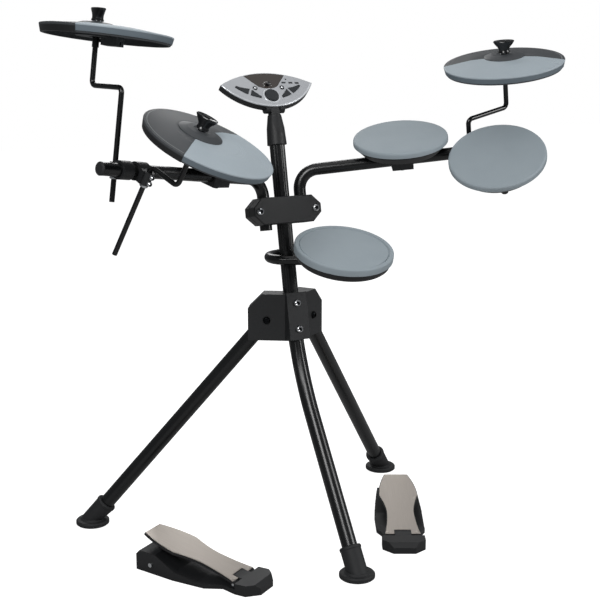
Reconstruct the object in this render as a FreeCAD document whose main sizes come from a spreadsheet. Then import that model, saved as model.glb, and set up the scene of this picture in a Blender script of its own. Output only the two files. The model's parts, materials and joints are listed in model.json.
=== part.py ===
# Electronic drum kit on a three-legged stand, in millimetres.
# +X is the drummer's right, +Y points away from the drummer and +Z is up.
# The origin is the middle of the front foot, on the floor.
import FreeCAD, Part
import Sketcher
import math
import os

V = FreeCAD.Vector
X_AXIS = V(1, 0, 0)
Y_AXIS = V(0, 1, 0)
Z_AXIS = V(0, 0, 1)
FULL_TURN = 360.0

# Driving dimensions, one group for each sub-part.
SIZES = {
    # fits
    "running_fit": 0.08,
    "clearance": 0.3,
    "overrun": 4.0,
    # stand tubes
    "leg_tube": 31.8,
    "leg_wall": 1.6,
    "hub_back": 270.0,
    "hub_height": 474.0,
    "mast_lean": 11.2,
    "mast_top": 392.0,
    "bend_below": 95.0,
    "bend_radius": 600.0,
    "rear_spread": 369.0,
    "rear_back": 510.0,
    # rubber feet
    "foot_dia": 72.0,
    "foot_disc": 11.0,
    "foot_round": 3.0,
    "boot_dia": 43.0,
    "boot_length": 52.0,
    "boot_floor": 7.0,
    # hub that joins the legs
    "hub_tall": 98.0,
    "collar_wall": 6.0,
    "saddle_width": 46.0,
    "saddle_depth": 25.0,
    "wing_reach": 92.0,
    "wing_start": 26.0,
    "wing_chamfer": 30.0,
    "cheek": 3.5,
    "wing_roof": 5.0,
    "pivot_reach": 53.0,
    "pivot_drop": 6.0,
    "pivot_dia": 8.0,
    "leg_overhang": 18.0,
    # bolts
    "bolt_dia": 8.0,
    "bolt_head_dia": 16.0,
    "bolt_head": 5.0,
    "hub_bolt_pitch": 54.0,
    "bolt_short": 3.5,
    # rack clamp that holds both arms
    "rack_station": 220.0,
    "rack_width": 155.0,
    "rack_tall": 56.0,
    "rack_corner_across": 20.0,
    "rack_corner_up": 19.0,
    "rack_front": 24.0,
    "rack_back": 22.0,
    "rack_gap": 1.0,
    "rack_edge": 2.5,
    "rack_bolt_pitch": 128.0,
    "stub_pitch": 86.0,
    # arms
    "arm_tube": 25.4,
    "arm_wall": 1.5,
    "arm_bend": 40.0,
    "arm_length": 390.0,
    "pad_clamp_end": 2.0,
    "pad_to_rod_clamp": 7.0,
    "rod_clamp_end": 39.0,
    "rod_clamp_apart": 13.0,
    "left_stub_below": 36.0,
    "right_stub_below": 24.0,
    "plug_flange": 3.0,
    "plug_depth": 14.0,
    "left_corner_height": 66.6,
    "left_swing": 22.5,
    "left_rise": 3.5,
    "right_corner_height": 79.1,
    "right_swing": 28.0,
    "right_rise": 1.3,
    # snare arm that hooks round the mast
    "snare_station": 123.3,
    "snare_tube": 20.0,
    "snare_wall": 2.0,
    "hook_radius": 38.0,
    "hook_turn": 150.0,
    "snare_run": 150.0,
    "snare_collar_wall": 5.0,
    "snare_collar_tall": 24.0,
    "snare_lug": 18.0,
    # drum pads
    "pad_dia": 197.0,
    "pad_rubber": 12.0,
    "pad_rim": 10.0,
    "pad_groove": 1.6,
    "pad_recess": 1.0,
    "pad_edge": 3.5,
    "pad_base": 18.0,
    "pad_inset": 4.0,
    "pad_taper": 14.0,
    "pad_wall": 3.0,
    "pad_plate": 1.2,
    "sensor_dia": 26.0,
    "socket_dia": 14.0,
    "socket_bore": 6.5,
    "socket_reach": 12.0,
    "socket_floor": 2.0,
    "pad_clamp_length": 44.0,
    "pad_clamp_wall": 5.0,
    "pad_screw": 6.0,
    "pad_screw_knob": 14.0,
    "pad_screw_short": 0.6,
    "snare_along": 109.0,
    "snare_offset": -85.5,
    "snare_lift": 72.5,
    "snare_tilt": 17.3,
    "snare_heading": -97.0,
    "snare_socket_turn": 0.0,
    "first_along": 92.0,
    "first_offset": 0.0,
    "first_lift": 50.0,
    "first_tilt": 15.0,
    "first_heading": -52.0,
    "first_socket_turn": -120.0,
    "second_overlap": 9.0,
    "second_offset": 10.0,
    "second_lift": 47.0,
    "second_tilt": 16.4,
    "second_heading": -135.0,
    "second_socket_turn": 90.0,
    "third_overhang": 16.5,
    "third_lift": 50.0,
    "third_tilt": 35.2,
    "third_heading": -137.0,
    "third_socket_turn": -90.0,
    # cymbal pads
    "cymbal_dia": 250.0,
    "mount_off": 22.0,
    "bell_dia": 84.0,
    "bell_top": 9.0,
    "bell_slope": 16.0,
    "bell_step": 0.5,
    "bow_top": 3.0,
    "bow_flat": 68.0,
    "bow_drop": 7.0,
    "rim_tall": 16.0,
    "rim_undercut": 4.0,
    "rim_edge": 1.5,
    "shell": 3.5,
    "skin": 2.0,
    "grey_span": 154.0,
    "housing_dia": 78.0,
    "housing_deep": 15.0,
    "socket_block_start": 18.0,
    "socket_block_length": 34.0,
    "socket_block_width": 26.0,
    "socket_block_below": 11.5,
    "socket_block_up": 6.0,
    "ball_dia": 24.0,
    "housing_hole": 28.0,
    # cymbal rods and what holds them
    "rod_dia": 10.0,
    "rod_bend": 10.0,
    "rod_upper": 106.0,
    "rod_tip": 33.0,
    "rod_gap": 24.0,
    "rod_clamp_length": 26.0,
    "rod_clamp_wall": 5.0,
    "rod_clamp_bolt": 6.0,
    "rod_clamp_bolt_out": 6.0,
    "stop_dia": 13.0,
    "stop_tall": 24.0,
    "stop_screw": 5.0,
    "stop_screw_out": 12.0,
    "nut_tall": 25.0,
    "nut_foot_dia": 15.0,
    "nut_top_dia": 20.0,
    "nut_span": 38.0,
    "nut_wing": 11.0,
    "nut_wing_tall": 17.0,
    "crash_side": -1.0,
    "crash_lean": 12.0,
    "crash_knee": 125.0,
    "crash_run": 90.0,
    "crash_below": 61.0,
    "crash_turn": -93.5,
    "crash_grey": -49.0,
    "hat_side": 1.0,
    "hat_lean": 36.5,
    "hat_knee": 0.5,
    "hat_run": 70.0,
    "hat_below": 167.0,
    "hat_turn": 96.5,
    "hat_grey": -47.0,
    "ride_side": -1.0,
    "ride_lean": 21.7,
    "ride_knee": 38.0,
    "ride_run": 108.8,
    "ride_below": 84.0,
    "ride_turn": -33.2,
    "ride_grey": -130.0,
    # module neck
    "neck_station": 355.0,
    "neck_tall": 62.5,
    "neck_foot_dia": 41.0,
    "neck_waist_dia": 37.0,
    "neck_top_dia": 28.0,
    "knuckle_dia": 16.0,
    "knuckle_width": 20.0,
    "knuckle_above": 13.5,
    "hinge_pin": 6.0,
    "hinge_pin_length": 38.0,
    # sound module
    "module_half": 106.0,
    "module_tip": 59.0,
    "module_tall": 89.0,
    "module_slope": 47.0,
    "module_up": 3.0,
    "module_under": 11.0,
    "case_deep": 24.0,
    "case_rim": 13.0,
    "case_step": 14.0,
    "case_wall": 2.5,
    "panel_thick": 2.0,
    "board_thick": 1.6,
    "window_thick": 1.2,
    "dial_dia": 30.0,
    "dial_tall": 5.0,
    "dial_at": 28.0,
    "knob_dia": 8.0,
    "knob_tall": 8.0,
    "knob_at": 57.0,
    "round_button": 9.0,
    "round_button_at": 31.0,
    "round_button_up": 49.0,
    "button_proud": 1.6,
    "button_stem": 6.0,
    "button_travel": 1.0,
    "control_gap": 0.4,
    "module_post": 7.0,
    "module_socket_up": 60.0,
    "module_socket_pitch": 26.0,
    "window_crown": 87.7,
    "window_head": 81.7,
    "window_head_half": 47.0,
    "window_corner": 54.0,
    "window_corner_half": 23.0,
    "window_foot": 47.0,
    "button_centre": 122.6,
    "button_outer": 103.0,
    "button_inner": 88.0,
    "button_tip": 99.0,
    "outer_button_wide": 30.5,
    "outer_button_narrow": 47.0,
    "inner_button_wide": 27.0,
    "inner_button_narrow": 14.0,
    # pedals
    "pedal_length": 280.0,
    "pedal_half": 52.0,
    "heel_end_half": 23.0,
    "heel_half": 45.0,
    "heel_corner": 22.0,
    "waist_half": 36.0,
    "waist_at": 78.0,
    "wide_from": 112.0,
    "wide_to": 185.0,
    "toe_half": 40.0,
    "heel_long": 46.0,
    "heel_tall": 22.0,
    "sole": 9.0,
    "toe_tall": 42.0,
    "toe_long": 50.0,
    "toe_slope": 50.0,
    "board_half": 43.0,
    "board_widest": 140.0,
    "board_waist_half": 30.0,
    "board_waist": 82.0,
    "board_heel_half": 38.5,
    "board_toe_half": 26.0,
    "board_bulge": 4.0,
    "board_short": 58.0,
    "footboard": 4.5,
    "footboard_under": 0.5,
    "footboard_rise": 14.0,
    "hinge_at": 54.0,
    "hinge_up": 15.5,
    "pedal_pin": 5.0,
    "pedal_knuckle": 9.0,
    "pedal_lug": 12.0,
    "tread": 1.5,
    "tread_inset": 1.5,
    "tread_notch": 36.0,
    "tread_notch_deep": 14.0,
    "dome_dia": 26.0,
    "dome_wall": 4.0,
    "dome_from_toe": 42.0,
    "dome_well": 20.0,
    "switch_dia": 18.0,
    "switch_tall": 3.0,
    "side_screw": 9.0,
    "side_screw_up": 18.0,
    "side_screw_head": 2.5,
    "hat_heel_x": -183.5,
    "hat_heel_y": 29.4,
    "hat_pedal_turn": 33.0,
    "kick_heel_x": 144.0,
    "kick_heel_y": 49.0,
    "kick_pedal_turn": -28.0,
}

doc = FreeCAD.newDocument("ElectronicDrumKit")
NODES = {}


# A size is a number that remembers the sheet formula that it came from.
class Size(float):
    def __new__(cls, value, formula):
        size = super().__new__(cls, value)
        size.formula = formula
        return size

    def __add__(self, other):
        return Size(float(self) + float(other), f"({self.formula} + {formula_of(other)})")

    def __radd__(self, other):
        return Size(float(other) + float(self), f"({formula_of(other)} + {self.formula})")

    def __sub__(self, other):
        return Size(float(self) - float(other), f"({self.formula} - {formula_of(other)})")

    def __rsub__(self, other):
        return Size(float(other) - float(self), f"({formula_of(other)} - {self.formula})")

    def __mul__(self, other):
        return Size(float(self) * float(other), f"({self.formula} * {formula_of(other)})")

    def __rmul__(self, other):
        return Size(float(other) * float(self), f"({formula_of(other)} * {self.formula})")

    def __truediv__(self, other):
        return Size(float(self) / float(other), f"({self.formula} / {formula_of(other)})")

    def __neg__(self):
        return Size(-float(self), f"(-{self.formula})")


def formula_of(value):
    return value.formula if isinstance(value, Size) else repr(float(value))


# The sheet holds every driving dimension under its own alias.
class SizeSheet:
    def __init__(self):
        sheet = doc.addObject("Spreadsheet::Sheet", "Sizes")
        for row, (name, value) in enumerate(SIZES.items(), start=1):
            sheet.set(f"A{row}", name)
            sheet.set(f"B{row}", str(value))
            sheet.setAlias(f"B{row}", name)
        doc.recompute()
        for name in SIZES:
            setattr(self, name, Size(sheet.get(name), f"Sizes.{name}"))


s = SizeSheet()


# Shared makers: each returns one document object with its sizes bound to the sheet.
def bind(thing, **sizes):
    for prop, value in sizes.items():
        setattr(thing, prop, float(value))
        if isinstance(value, Size):
            thing.setExpression(prop, value.formula)
    return thing


def unit(vector):
    return V(vector) / vector.Length


def aim(at, along=Z_AXIS, across=X_AXIS):
    return FreeCAD.Placement(at, FreeCAD.Rotation(across, V(), along, "ZXY"))


def shifted(frame, x, y, z):
    return frame.multiply(FreeCAD.Placement(V(x, y, z), FreeCAD.Rotation()))


def cylinder(name, radius, height, at=V(), along=Z_AXIS):
    made = doc.addObject("Part::Cylinder", name)
    bind(made, Radius=radius, Height=height)
    made.Placement = aim(at, along)
    return made


def rod(name, radius, start, end):
    return cylinder(name, radius, (end - start).Length, start, unit(end - start))


def box(name, length, width, height, low):
    made = doc.addObject("Part::Box", name)
    bind(made, Length=length, Width=width, Height=height)
    made.Placement.Base = V(*low)
    return made


def ball(name, radius, at=V()):
    made = doc.addObject("Part::Sphere", name)
    bind(made, Radius=radius)
    made.Placement.Base = at
    return made


def fuse(name, *pieces):
    made = doc.addObject("Part::MultiFuse", name)
    made.Shapes = list(pieces)
    return made


def cut(name, base, *tools):
    made = doc.addObject("Part::Cut", name)
    made.Base = base
    made.Tool = tools[0] if len(tools) == 1 else fuse(name + "_tools", *tools)
    return made


def common(name, *pieces):
    made = doc.addObject("Part::MultiCommon", name)
    made.Shapes = list(pieces)
    return made


def group(name, *pieces):
    made = doc.addObject("Part::Compound", name)
    made.Links = list(pieces)
    return made


def node(name, made, frame=None):
    made.Label = name
    if frame is not None:
        made.Placement = frame
    NODES[name] = made
    return made


def sketch_in(body, plane):
    sketch = body.newObject("Sketcher::SketchObject", body.Name + "_sketch")
    support = [feature for feature in body.Origin.OriginFeatures if feature.Role == plane]
    sketch.AttachmentSupport = [(support[0], "")]
    sketch.MapMode = "FlatFace"
    return sketch


def draw_polygon(sketch, points):
    corners = [V(float(x), float(y), 0) for x, y in points]
    count = len(points)
    for here in range(count):
        sketch.addGeometry(Part.LineSegment(corners[here], corners[(here + 1) % count]), False)
    for here in range(count):
        sketch.addConstraint(Sketcher.Constraint("Coincident", here, 2, (here + 1) % count, 1))
    for here, point in enumerate(points):
        for direction, value in zip(("DistanceX", "DistanceY"), point):
            place = sketch.addConstraint(Sketcher.Constraint(direction, -1, 1, here, 1, float(value)))
            if isinstance(value, Size):
                sketch.setExpression(f"Constraints[{place}]", value.formula)


# A turned piece: points are (radius, height), and rounds are (point number, fillet radius).
def lathe(name, points, rounds=(), span=FULL_TURN):
    body = doc.addObject("PartDesign::Body", name)
    sketch = sketch_in(body, "XZ_Plane")
    draw_polygon(sketch, points)
    turned = body.newObject("PartDesign::Revolution", name + "_turned")
    turned.Profile = sketch
    turned.ReferenceAxis = (sketch, ["V_Axis"])
    bind(turned, Angle=span)
    doc.recompute()
    for number, radius in rounds:
        before = body.Tip
        at_radius, at_height = (float(value) for value in points[number])
        edges = []
        for index, edge in enumerate(before.Shape.Edges, start=1):
            curve = edge.Curve
            if not hasattr(curve, "Radius") or not hasattr(curve, "Center"):
                continue
            if math.isclose(curve.Radius, at_radius, abs_tol=1e-4):
                if math.isclose(curve.Center.z, at_height, abs_tol=1e-4):
                    edges.append(f"Edge{index}")
        rounded = body.newObject("PartDesign::Fillet", f"{name}_round_{number}")
        rounded.Base = (before, edges)
        bind(rounded, Radius=radius)
        doc.recompute()
    return body


# A flat plate drawn on the XZ plane, which reaches towards the drummer by its thickness.
def plate(name, points, thickness, edge=None):
    body = doc.addObject("PartDesign::Body", name)
    sketch = sketch_in(body, "XZ_Plane")
    draw_polygon(sketch, points)
    padded = body.newObject("PartDesign::Pad", name + "_pad")
    padded.Profile = sketch
    bind(padded, Length=thickness)
    doc.recompute()
    if edge is not None:
        front = min(padded.Shape.Faces, key=lambda face: face.CenterOfMass.y)
        names = []
        for index, candidate in enumerate(padded.Shape.Edges, start=1):
            if any(candidate.isSame(other) for other in front.Edges):
                names.append(f"Edge{index}")
        rounded = body.newObject("PartDesign::Fillet", name + "_edge")
        rounded.Base = (padded, names)
        bind(rounded, Radius=edge)
    return body


# An outline of lines and arcs: each leg is one end point, or a point on the way and an end point.
def outline(name, start, *legs):
    edges = []
    here = V(*start, 0)
    for leg in legs:
        points = [V(*point, 0) for point in leg]
        if len(points) == 1:
            edges.append(Part.makeLine(here, points[0]))
        else:
            edges.append(Part.Arc(here, points[0], points[1]).toShape())
        here = points[-1]
    made = doc.addObject("Part::Feature", name)
    made.Shape = Part.Face(Part.Wire(edges))
    return made


def mirrored(points):
    return [(-x, y) for x, y in reversed(points)]


def extrude(name, face, length, up=Z_AXIS, start=0.0):
    made = doc.addObject("Part::Extrusion", name)
    made.Base = face
    made.DirMode = "Custom"
    made.Dir = up
    made.Solid = True
    bind(made, LengthFwd=length)
    made.Placement.Base = up * float(start)
    return made


# A round bar through the points, with every corner bent to the same radius.
def bent_bar(name, points, radius, bend):
    pieces = []
    start = points[0]
    for number in range(1, len(points) - 1):
        corner = points[number]
        before = unit(corner - points[number - 1])
        after = unit(points[number + 1] - corner)
        turn = before.getAngle(after)
        reach = float(bend) * math.tan(turn / 2)
        inward = unit(after - before * before.dot(after))
        bend_start = corner - before * reach
        pieces.append(rod(f"{name}_run_{number}", radius, start, bend_start))
        elbow = doc.addObject("Part::Torus", f"{name}_bend_{number}")
        bind(elbow, Radius1=bend, Radius2=radius, Angle1=-180.0, Angle2=180.0, Angle3=math.degrees(turn))
        centre = bend_start + inward * float(bend)
        elbow.Placement = aim(centre, before.cross(inward), -inward)
        pieces.append(elbow)
        start = corner + after * reach
    pieces.append(rod(f"{name}_run_{len(points)}", radius, start, points[-1]))
    return fuse(name, *pieces)


def bent_tube(name, points, diameter, wall, bend):
    outer = bent_bar(name + "_outer", points, diameter / 2, bend)
    inner = bent_bar(name + "_inner", points, diameter / 2 - wall, bend)
    return cut(name, outer, inner)


# Places that several sub-parts share.
LEAN = math.radians(s.mast_lean)
MAST = V(0, math.sin(LEAN), math.cos(LEAN))
MAST_FRONT = V(0, -math.cos(LEAN), math.sin(LEAN))
HUB = V(0, s.hub_back, s.hub_height)
BEND_CORNER = HUB - MAST * s.bend_below
FRONT_SEAT = V(0, 0, s.foot_disc)
FRONT_LEG = unit(BEND_CORNER - FRONT_SEAT)


def on_mast(station):
    return HUB + MAST * float(station)


RACK = on_mast(s.rack_station)
MAST_PATH = [on_mast(s.mast_top), BEND_CORNER, FRONT_SEAT + FRONT_LEG * s.boot_floor]


# Rear legs: each hangs from a pivot bolt in one wing of the hub.
class RearLeg:
    def __init__(self, name, side):
        self.name = name
        self.foot = V(side * s.rear_spread, s.rear_back, 0)
        out = V(self.foot.x, self.foot.y - HUB.y, 0)
        self.out = unit(out)
        self.across = Z_AXIS.cross(self.out)
        self.pivot = HUB + self.out * s.pivot_reach - Z_AXIS * s.pivot_drop
        self.seat = self.foot + Z_AXIS * s.foot_disc
        self.up = unit(self.pivot - self.seat)


REAR_LEGS = [RearLeg("left", -1), RearLeg("right", 1)]


# Arms: a short stub in the rack clamp, a bend and a long run that carries pads and rods.
class Arm:
    def __init__(self, name, side, corner_height, swing, rise, stub_below):
        self.name = name
        self.stub_below = stub_below
        self.stub = RACK + X_AXIS * (side * s.stub_pitch / 2)
        flat = X_AXIS * (side * math.cos(math.radians(swing))) + MAST_FRONT * math.sin(math.radians(swing))
        self.along = unit(flat * math.cos(math.radians(rise)) + MAST * math.sin(math.radians(rise)))
        self.corner = self.stub + MAST * corner_height
        self.start = self.corner + self.along * s.arm_bend
        self.end = self.start + self.along * s.arm_length
        self.up = unit(MAST - self.along * MAST.dot(self.along))
        self.near = self.up.cross(self.along)
        if self.near.y > 0:
            self.near = -self.near
        self.tube = s.arm_tube

    def at(self, station):
        return self.start + self.along * float(station)


# The outer clamps are set out from the end of the arm's run, one after another.
FLOOR_TOM_ALONG = s.arm_length - s.pad_clamp_end - s.pad_clamp_length / 2
SECOND_TOM_ALONG = FLOOR_TOM_ALONG - s.pad_dia + s.second_overlap
RIDE_ALONG = FLOOR_TOM_ALONG - s.pad_clamp_length / 2 - s.pad_to_rod_clamp - s.rod_clamp_length / 2
CRASH_ALONG = s.arm_length - s.rod_clamp_end - s.rod_clamp_length / 2
HAT_ALONG = CRASH_ALONG - s.rod_clamp_length - s.rod_clamp_apart

LEFT_ARM = Arm("left_arm", -1, s.left_corner_height, s.left_swing, s.left_rise, s.left_stub_below)
RIGHT_ARM = Arm("right_arm", 1, s.right_corner_height, s.right_swing, s.right_rise, s.right_stub_below)


# The snare arm hooks round the mast, level with the floor, and runs on under its pad.
class SnareArm:
    def __init__(self):
        self.centre = on_mast(s.snare_station)
        turn = math.radians(s.hook_turn)
        self.leave = self.centre + V(-math.sin(turn), math.cos(turn), 0) * s.hook_radius
        self.along = V(-math.cos(turn), -math.sin(turn), 0)
        self.end = self.leave + self.along * s.snare_run
        self.tube = s.snare_tube

    def at(self, station):
        return self.leave + self.along * float(station)


SNARE_ARM = SnareArm()


# Drum pads: the frame has its origin on the playing face, with local X near the tube's run.
class DrumPad:
    def __init__(self, name, arm, diameter, along, offset, lift, tilt, heading, socket_turn):
        self.name = name
        self.arm = arm
        self.diameter = diameter
        lean, turn = math.radians(tilt), math.radians(heading)
        self.normal = V(math.sin(lean) * math.cos(turn), math.sin(lean) * math.sin(turn), math.cos(lean))
        self.grip = arm.at(along)
        across = unit(self.normal.cross(arm.along))
        self.centre = self.grip + across * offset + self.normal * lift
        self.frame = aim(self.centre, self.normal, arm.along)
        self.lift = lift
        self.socket_turn = math.radians(socket_turn)


# The floor tom hangs out to the player's side: its edge overhangs the tube by a fixed length.
THIRD_OFFSET = s.third_overhang - s.pad_dia / 2

DRUM_PADS = [
    DrumPad("snare", SNARE_ARM, s.pad_dia, s.snare_along, s.snare_offset, s.snare_lift,
            s.snare_tilt, s.snare_heading, s.snare_socket_turn),
    DrumPad("first_tom", LEFT_ARM, s.pad_dia, s.first_along, s.first_offset, s.first_lift,
            s.first_tilt, s.first_heading, s.first_socket_turn),
    DrumPad("second_tom", RIGHT_ARM, s.pad_dia, SECOND_TOM_ALONG, s.second_offset, s.second_lift,
            s.second_tilt, s.second_heading, s.second_socket_turn),
    DrumPad("floor_tom", RIGHT_ARM, s.pad_dia, FLOOR_TOM_ALONG, THIRD_OFFSET, s.third_lift,
            s.third_tilt, s.third_heading, s.third_socket_turn),
]


# Cymbal pads: a Z-shaped rod stands beside its arm, and the pad rocks on a ball near the rod's tip.
class Cymbal:
    def __init__(self, name, arm, diameter, along, side, lean, knee, run, below, turn, grey):
        self.name = name
        self.arm = arm
        self.diameter = diameter
        angle = math.radians(lean)
        self.up = unit(arm.up * math.cos(angle) + arm.near * math.sin(angle))
        self.near = self.up.cross(arm.along)
        if self.near.y > 0:
            self.near = -self.near
        self.grip = arm.at(along)
        self.foot = self.grip + self.near * (side * s.rod_gap)
        self.side = side
        heading = math.radians(turn)
        self.sideways = arm.along * math.cos(heading) + self.near * math.sin(heading)
        self.low = self.foot - self.up * below
        # the bend below the knee starts above the clamp
        self.knee = self.foot + self.up * (s.rod_clamp_length / 2 + knee + s.rod_bend)
        self.elbow = self.knee + self.sideways * run
        self.ball = self.elbow + self.up * s.rod_upper
        facing = math.radians(grey)
        self.frame = aim(self.ball, self.up, V(math.cos(facing), math.sin(facing), 0))


CYMBALS = [
    Cymbal("crash", LEFT_ARM, s.cymbal_dia, CRASH_ALONG, s.crash_side, s.crash_lean,
           s.crash_knee, s.crash_run, s.crash_below, s.crash_turn, s.crash_grey),
    Cymbal("hat", LEFT_ARM, s.cymbal_dia, HAT_ALONG, s.hat_side, s.hat_lean,
           s.hat_knee, s.hat_run, s.hat_below, s.hat_turn, s.hat_grey),
    Cymbal("ride", RIGHT_ARM, s.cymbal_dia, RIDE_ALONG, s.ride_side, s.ride_lean,
           s.ride_knee, s.ride_run, s.ride_below, s.ride_turn, s.ride_grey),
]


# Stand: the mast and the front leg are one bent tube.
def make_mast():
    tube = bent_tube("mast", MAST_PATH, s.leg_tube, s.leg_wall, s.bend_radius)
    node("mast_tube", tube)


def make_foot(name, floor_point, up):
    radius = s.foot_dia / 2
    disc = lathe(name + "_disc", [(0.0, 0.0), (radius, 0.0), (radius, s.foot_disc), (0.0, s.foot_disc)],
                 rounds=[(2, s.foot_round)])
    disc.Placement.Base = floor_point
    seat = floor_point + Z_AXIS * s.foot_disc
    boot = rod(name + "_boot", s.boot_dia / 2, seat - up * s.foot_disc, seat + up * s.boot_length)
    below = box(name + "_floor", s.foot_dia * 2, s.foot_dia * 2, s.foot_dia,
                floor_point - V(s.foot_dia, s.foot_dia, s.foot_dia))
    bore = rod(name + "_bore", s.leg_tube / 2, seat + up * s.boot_floor,
               seat + up * (s.boot_length + s.overrun))
    node(name, cut(name, fuse(name + "_body", disc, boot), below, bore))


def make_rear_leg(leg):
    start = leg.seat + leg.up * s.boot_floor
    end = leg.pivot + leg.up * s.leg_overhang
    outer = rod(leg.name + "_leg_outer", s.leg_tube / 2, start, end)
    inner = rod(leg.name + "_leg_inner", s.leg_tube / 2 - s.leg_wall, start, end)
    reach = s.leg_tube / 2 + s.overrun
    hole = rod(leg.name + "_leg_hole", s.pivot_dia / 2 + s.running_fit,
               leg.pivot - leg.across * reach, leg.pivot + leg.across * reach)
    node(leg.name + "_leg", cut(leg.name + "_leg", outer, inner, hole))
    make_foot(leg.name + "_foot", leg.foot, leg.up)


# One wing is a channel of two cheeks and a roof, open below so that the leg can fold.
def make_wing(leg):
    name = leg.name + "_wing"
    inside = s.leg_tube + s.clearance * 2
    half = inside / 2 + s.cheek
    top = s.hub_tall / 2
    profile = [(0.0, -top), (s.wing_reach, -top), (s.wing_reach, top - s.wing_chamfer),
               (s.wing_reach - s.wing_chamfer, top), (0.0, top)]
    cheeks = plate(name, profile, half * 2)
    cheeks.Placement = aim(HUB + leg.across * half, Z_AXIS, leg.out)
    roof = top - s.wing_roof
    channel = plate(name + "_channel",
                    [(s.wing_start, -top - s.overrun), (s.wing_reach + s.overrun, -top - s.overrun),
                     (s.wing_reach + s.overrun, roof - s.wing_chamfer - s.overrun),
                     (s.wing_reach - s.wing_chamfer, roof), (s.wing_start, roof)], inside)
    channel.Placement = aim(HUB + leg.across * (inside / 2), Z_AXIS, leg.out)
    bolt_hole = rod(name + "_hole", s.pivot_dia / 2, leg.pivot - leg.across * (half + s.overrun),
                    leg.pivot + leg.across * (half + s.overrun))
    return cheeks, channel, bolt_hole


def hub_bolt_seats():
    return [HUB + MAST * (sign * s.hub_bolt_pitch / 2) for sign in (1, -1)]


def make_hub():
    top = s.hub_tall / 2
    collar = rod("hub_collar", s.leg_tube / 2 + s.collar_wall, HUB - MAST * top, HUB + MAST * top)
    saddle = box("hub_saddle", s.saddle_width, s.saddle_depth, s.hub_tall, (-s.saddle_width / 2, 0.0, -top))
    saddle_corner = HUB - X_AXIS * (s.saddle_width / 2) - MAST * top + MAST_FRONT * s.saddle_depth
    saddle.Placement = aim(saddle_corner, MAST)
    cheeks, channels, holes = zip(*(make_wing(leg) for leg in REAR_LEGS))
    body = fuse("hub_body", collar, saddle, *cheeks)
    mast_hole = bent_bar("hub_mast_hole", MAST_PATH, s.leg_tube / 2, s.bend_radius)
    through = MAST_FRONT * (s.saddle_depth + s.overrun)
    screw_holes = [rod(f"hub_screw_hole_{number}", s.bolt_dia / 2, seat, seat + through)
                   for number, seat in enumerate(hub_bolt_seats())]
    node("hub_bracket", cut("hub_bracket", body, mast_hole, *channels, *holes, *screw_holes))


def make_bolt(name, start, end, shank, head=True, nut=False):
    along = unit(end - start)
    pieces = [rod(name + "_shank", shank / 2, start, end)]
    if head:
        pieces.append(rod(name + "_head", s.bolt_head_dia / 2, start - along * s.bolt_head, start))
    if nut:
        pieces.append(rod(name + "_nut", s.bolt_head_dia / 2, end, end + along * s.bolt_head))
    return fuse(name, *pieces)


def make_stand_bolts():
    bolts = []
    for number, seat in enumerate(hub_bolt_seats()):
        bolts.append(make_bolt(f"hub_bolt_{number}", seat + MAST_FRONT * s.saddle_depth,
                               seat + MAST_FRONT * (s.leg_tube / 2 + s.bolt_short), s.bolt_dia))
    half = s.leg_tube / 2 + s.clearance + s.cheek
    for leg in REAR_LEGS:
        bolts.append(make_bolt(leg.name + "_pivot_bolt", leg.pivot - leg.across * half,
                               leg.pivot + leg.across * half, s.pivot_dia, nut=True))
    for number, sign in enumerate((-1, 1)):
        seat = RACK + X_AXIS * (sign * s.rack_bolt_pitch / 2)
        bolts.append(make_bolt(f"rack_bolt_{number}", seat + MAST_FRONT * (s.rack_front + s.rack_gap / 2),
                               seat - MAST_FRONT * (s.rack_back + s.rack_gap / 2), s.bolt_dia, nut=True))
    node("stand_bolts", group("stand_bolts", *bolts))


# Rack clamp: two halves grip the mast and hold the stubs of both arms.
def make_rack_clamp():
    across, up = s.rack_width / 2, s.rack_tall / 2
    corner = [(across - s.rack_corner_across, up), (across, up - s.rack_corner_up)]
    lower = [(x, -y) for x, y in reversed(corner)]
    octagon = corner + lower + mirrored(corner + lower)
    reach = s.rack_tall / 2 + s.overrun
    halves = (("rack_clamp_front", s.rack_front, 1), ("rack_clamp_back", s.rack_back, -1))
    for name, thickness, flip in halves:
        block = plate(name + "_block", octagon, thickness, edge=s.rack_edge)
        block.Placement = aim(RACK + MAST_FRONT * (flip * s.rack_gap / 2), MAST, X_AXIS * flip)
        holes = [rod(name + "_mast_hole", s.leg_tube / 2, RACK - MAST * reach, RACK + MAST * reach)]
        for arm in (LEFT_ARM, RIGHT_ARM):
            holes.append(rod(f"{name}_{arm.name}_hole", s.arm_tube / 2 + s.running_fit,
                             arm.stub - MAST * reach, arm.stub + MAST * reach))
        for number, sign in enumerate((-1, 1)):
            seat = RACK + X_AXIS * (sign * s.rack_bolt_pitch / 2)
            depth = s.rack_front + s.rack_back
            holes.append(rod(f"{name}_bolt_hole_{number}", s.bolt_dia / 2, seat - MAST_FRONT * depth,
                             seat + MAST_FRONT * depth))
        node(name, cut(name, block, *holes))


def make_plug(name, tube, wall, end, outward):
    flange = rod(name + "_flange", tube / 2, end, end + outward * s.plug_flange)
    stem = rod(name + "_stem", tube / 2 - wall, end - outward * s.plug_depth, end)
    return fuse(name, flange, stem)


def make_arm(arm):
    low = arm.stub - MAST * arm.stub_below
    tube = bent_tube(arm.name + "_tube", [low, arm.corner, arm.end], s.arm_tube, s.arm_wall, s.arm_bend)
    end_plug = make_plug(arm.name + "_end_plug", s.arm_tube, s.arm_wall, arm.end, arm.along)
    low_plug = make_plug(arm.name + "_low_plug", s.arm_tube, s.arm_wall, low, -MAST)
    node(arm.name, group(arm.name, tube, end_plug, low_plug))


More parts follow.
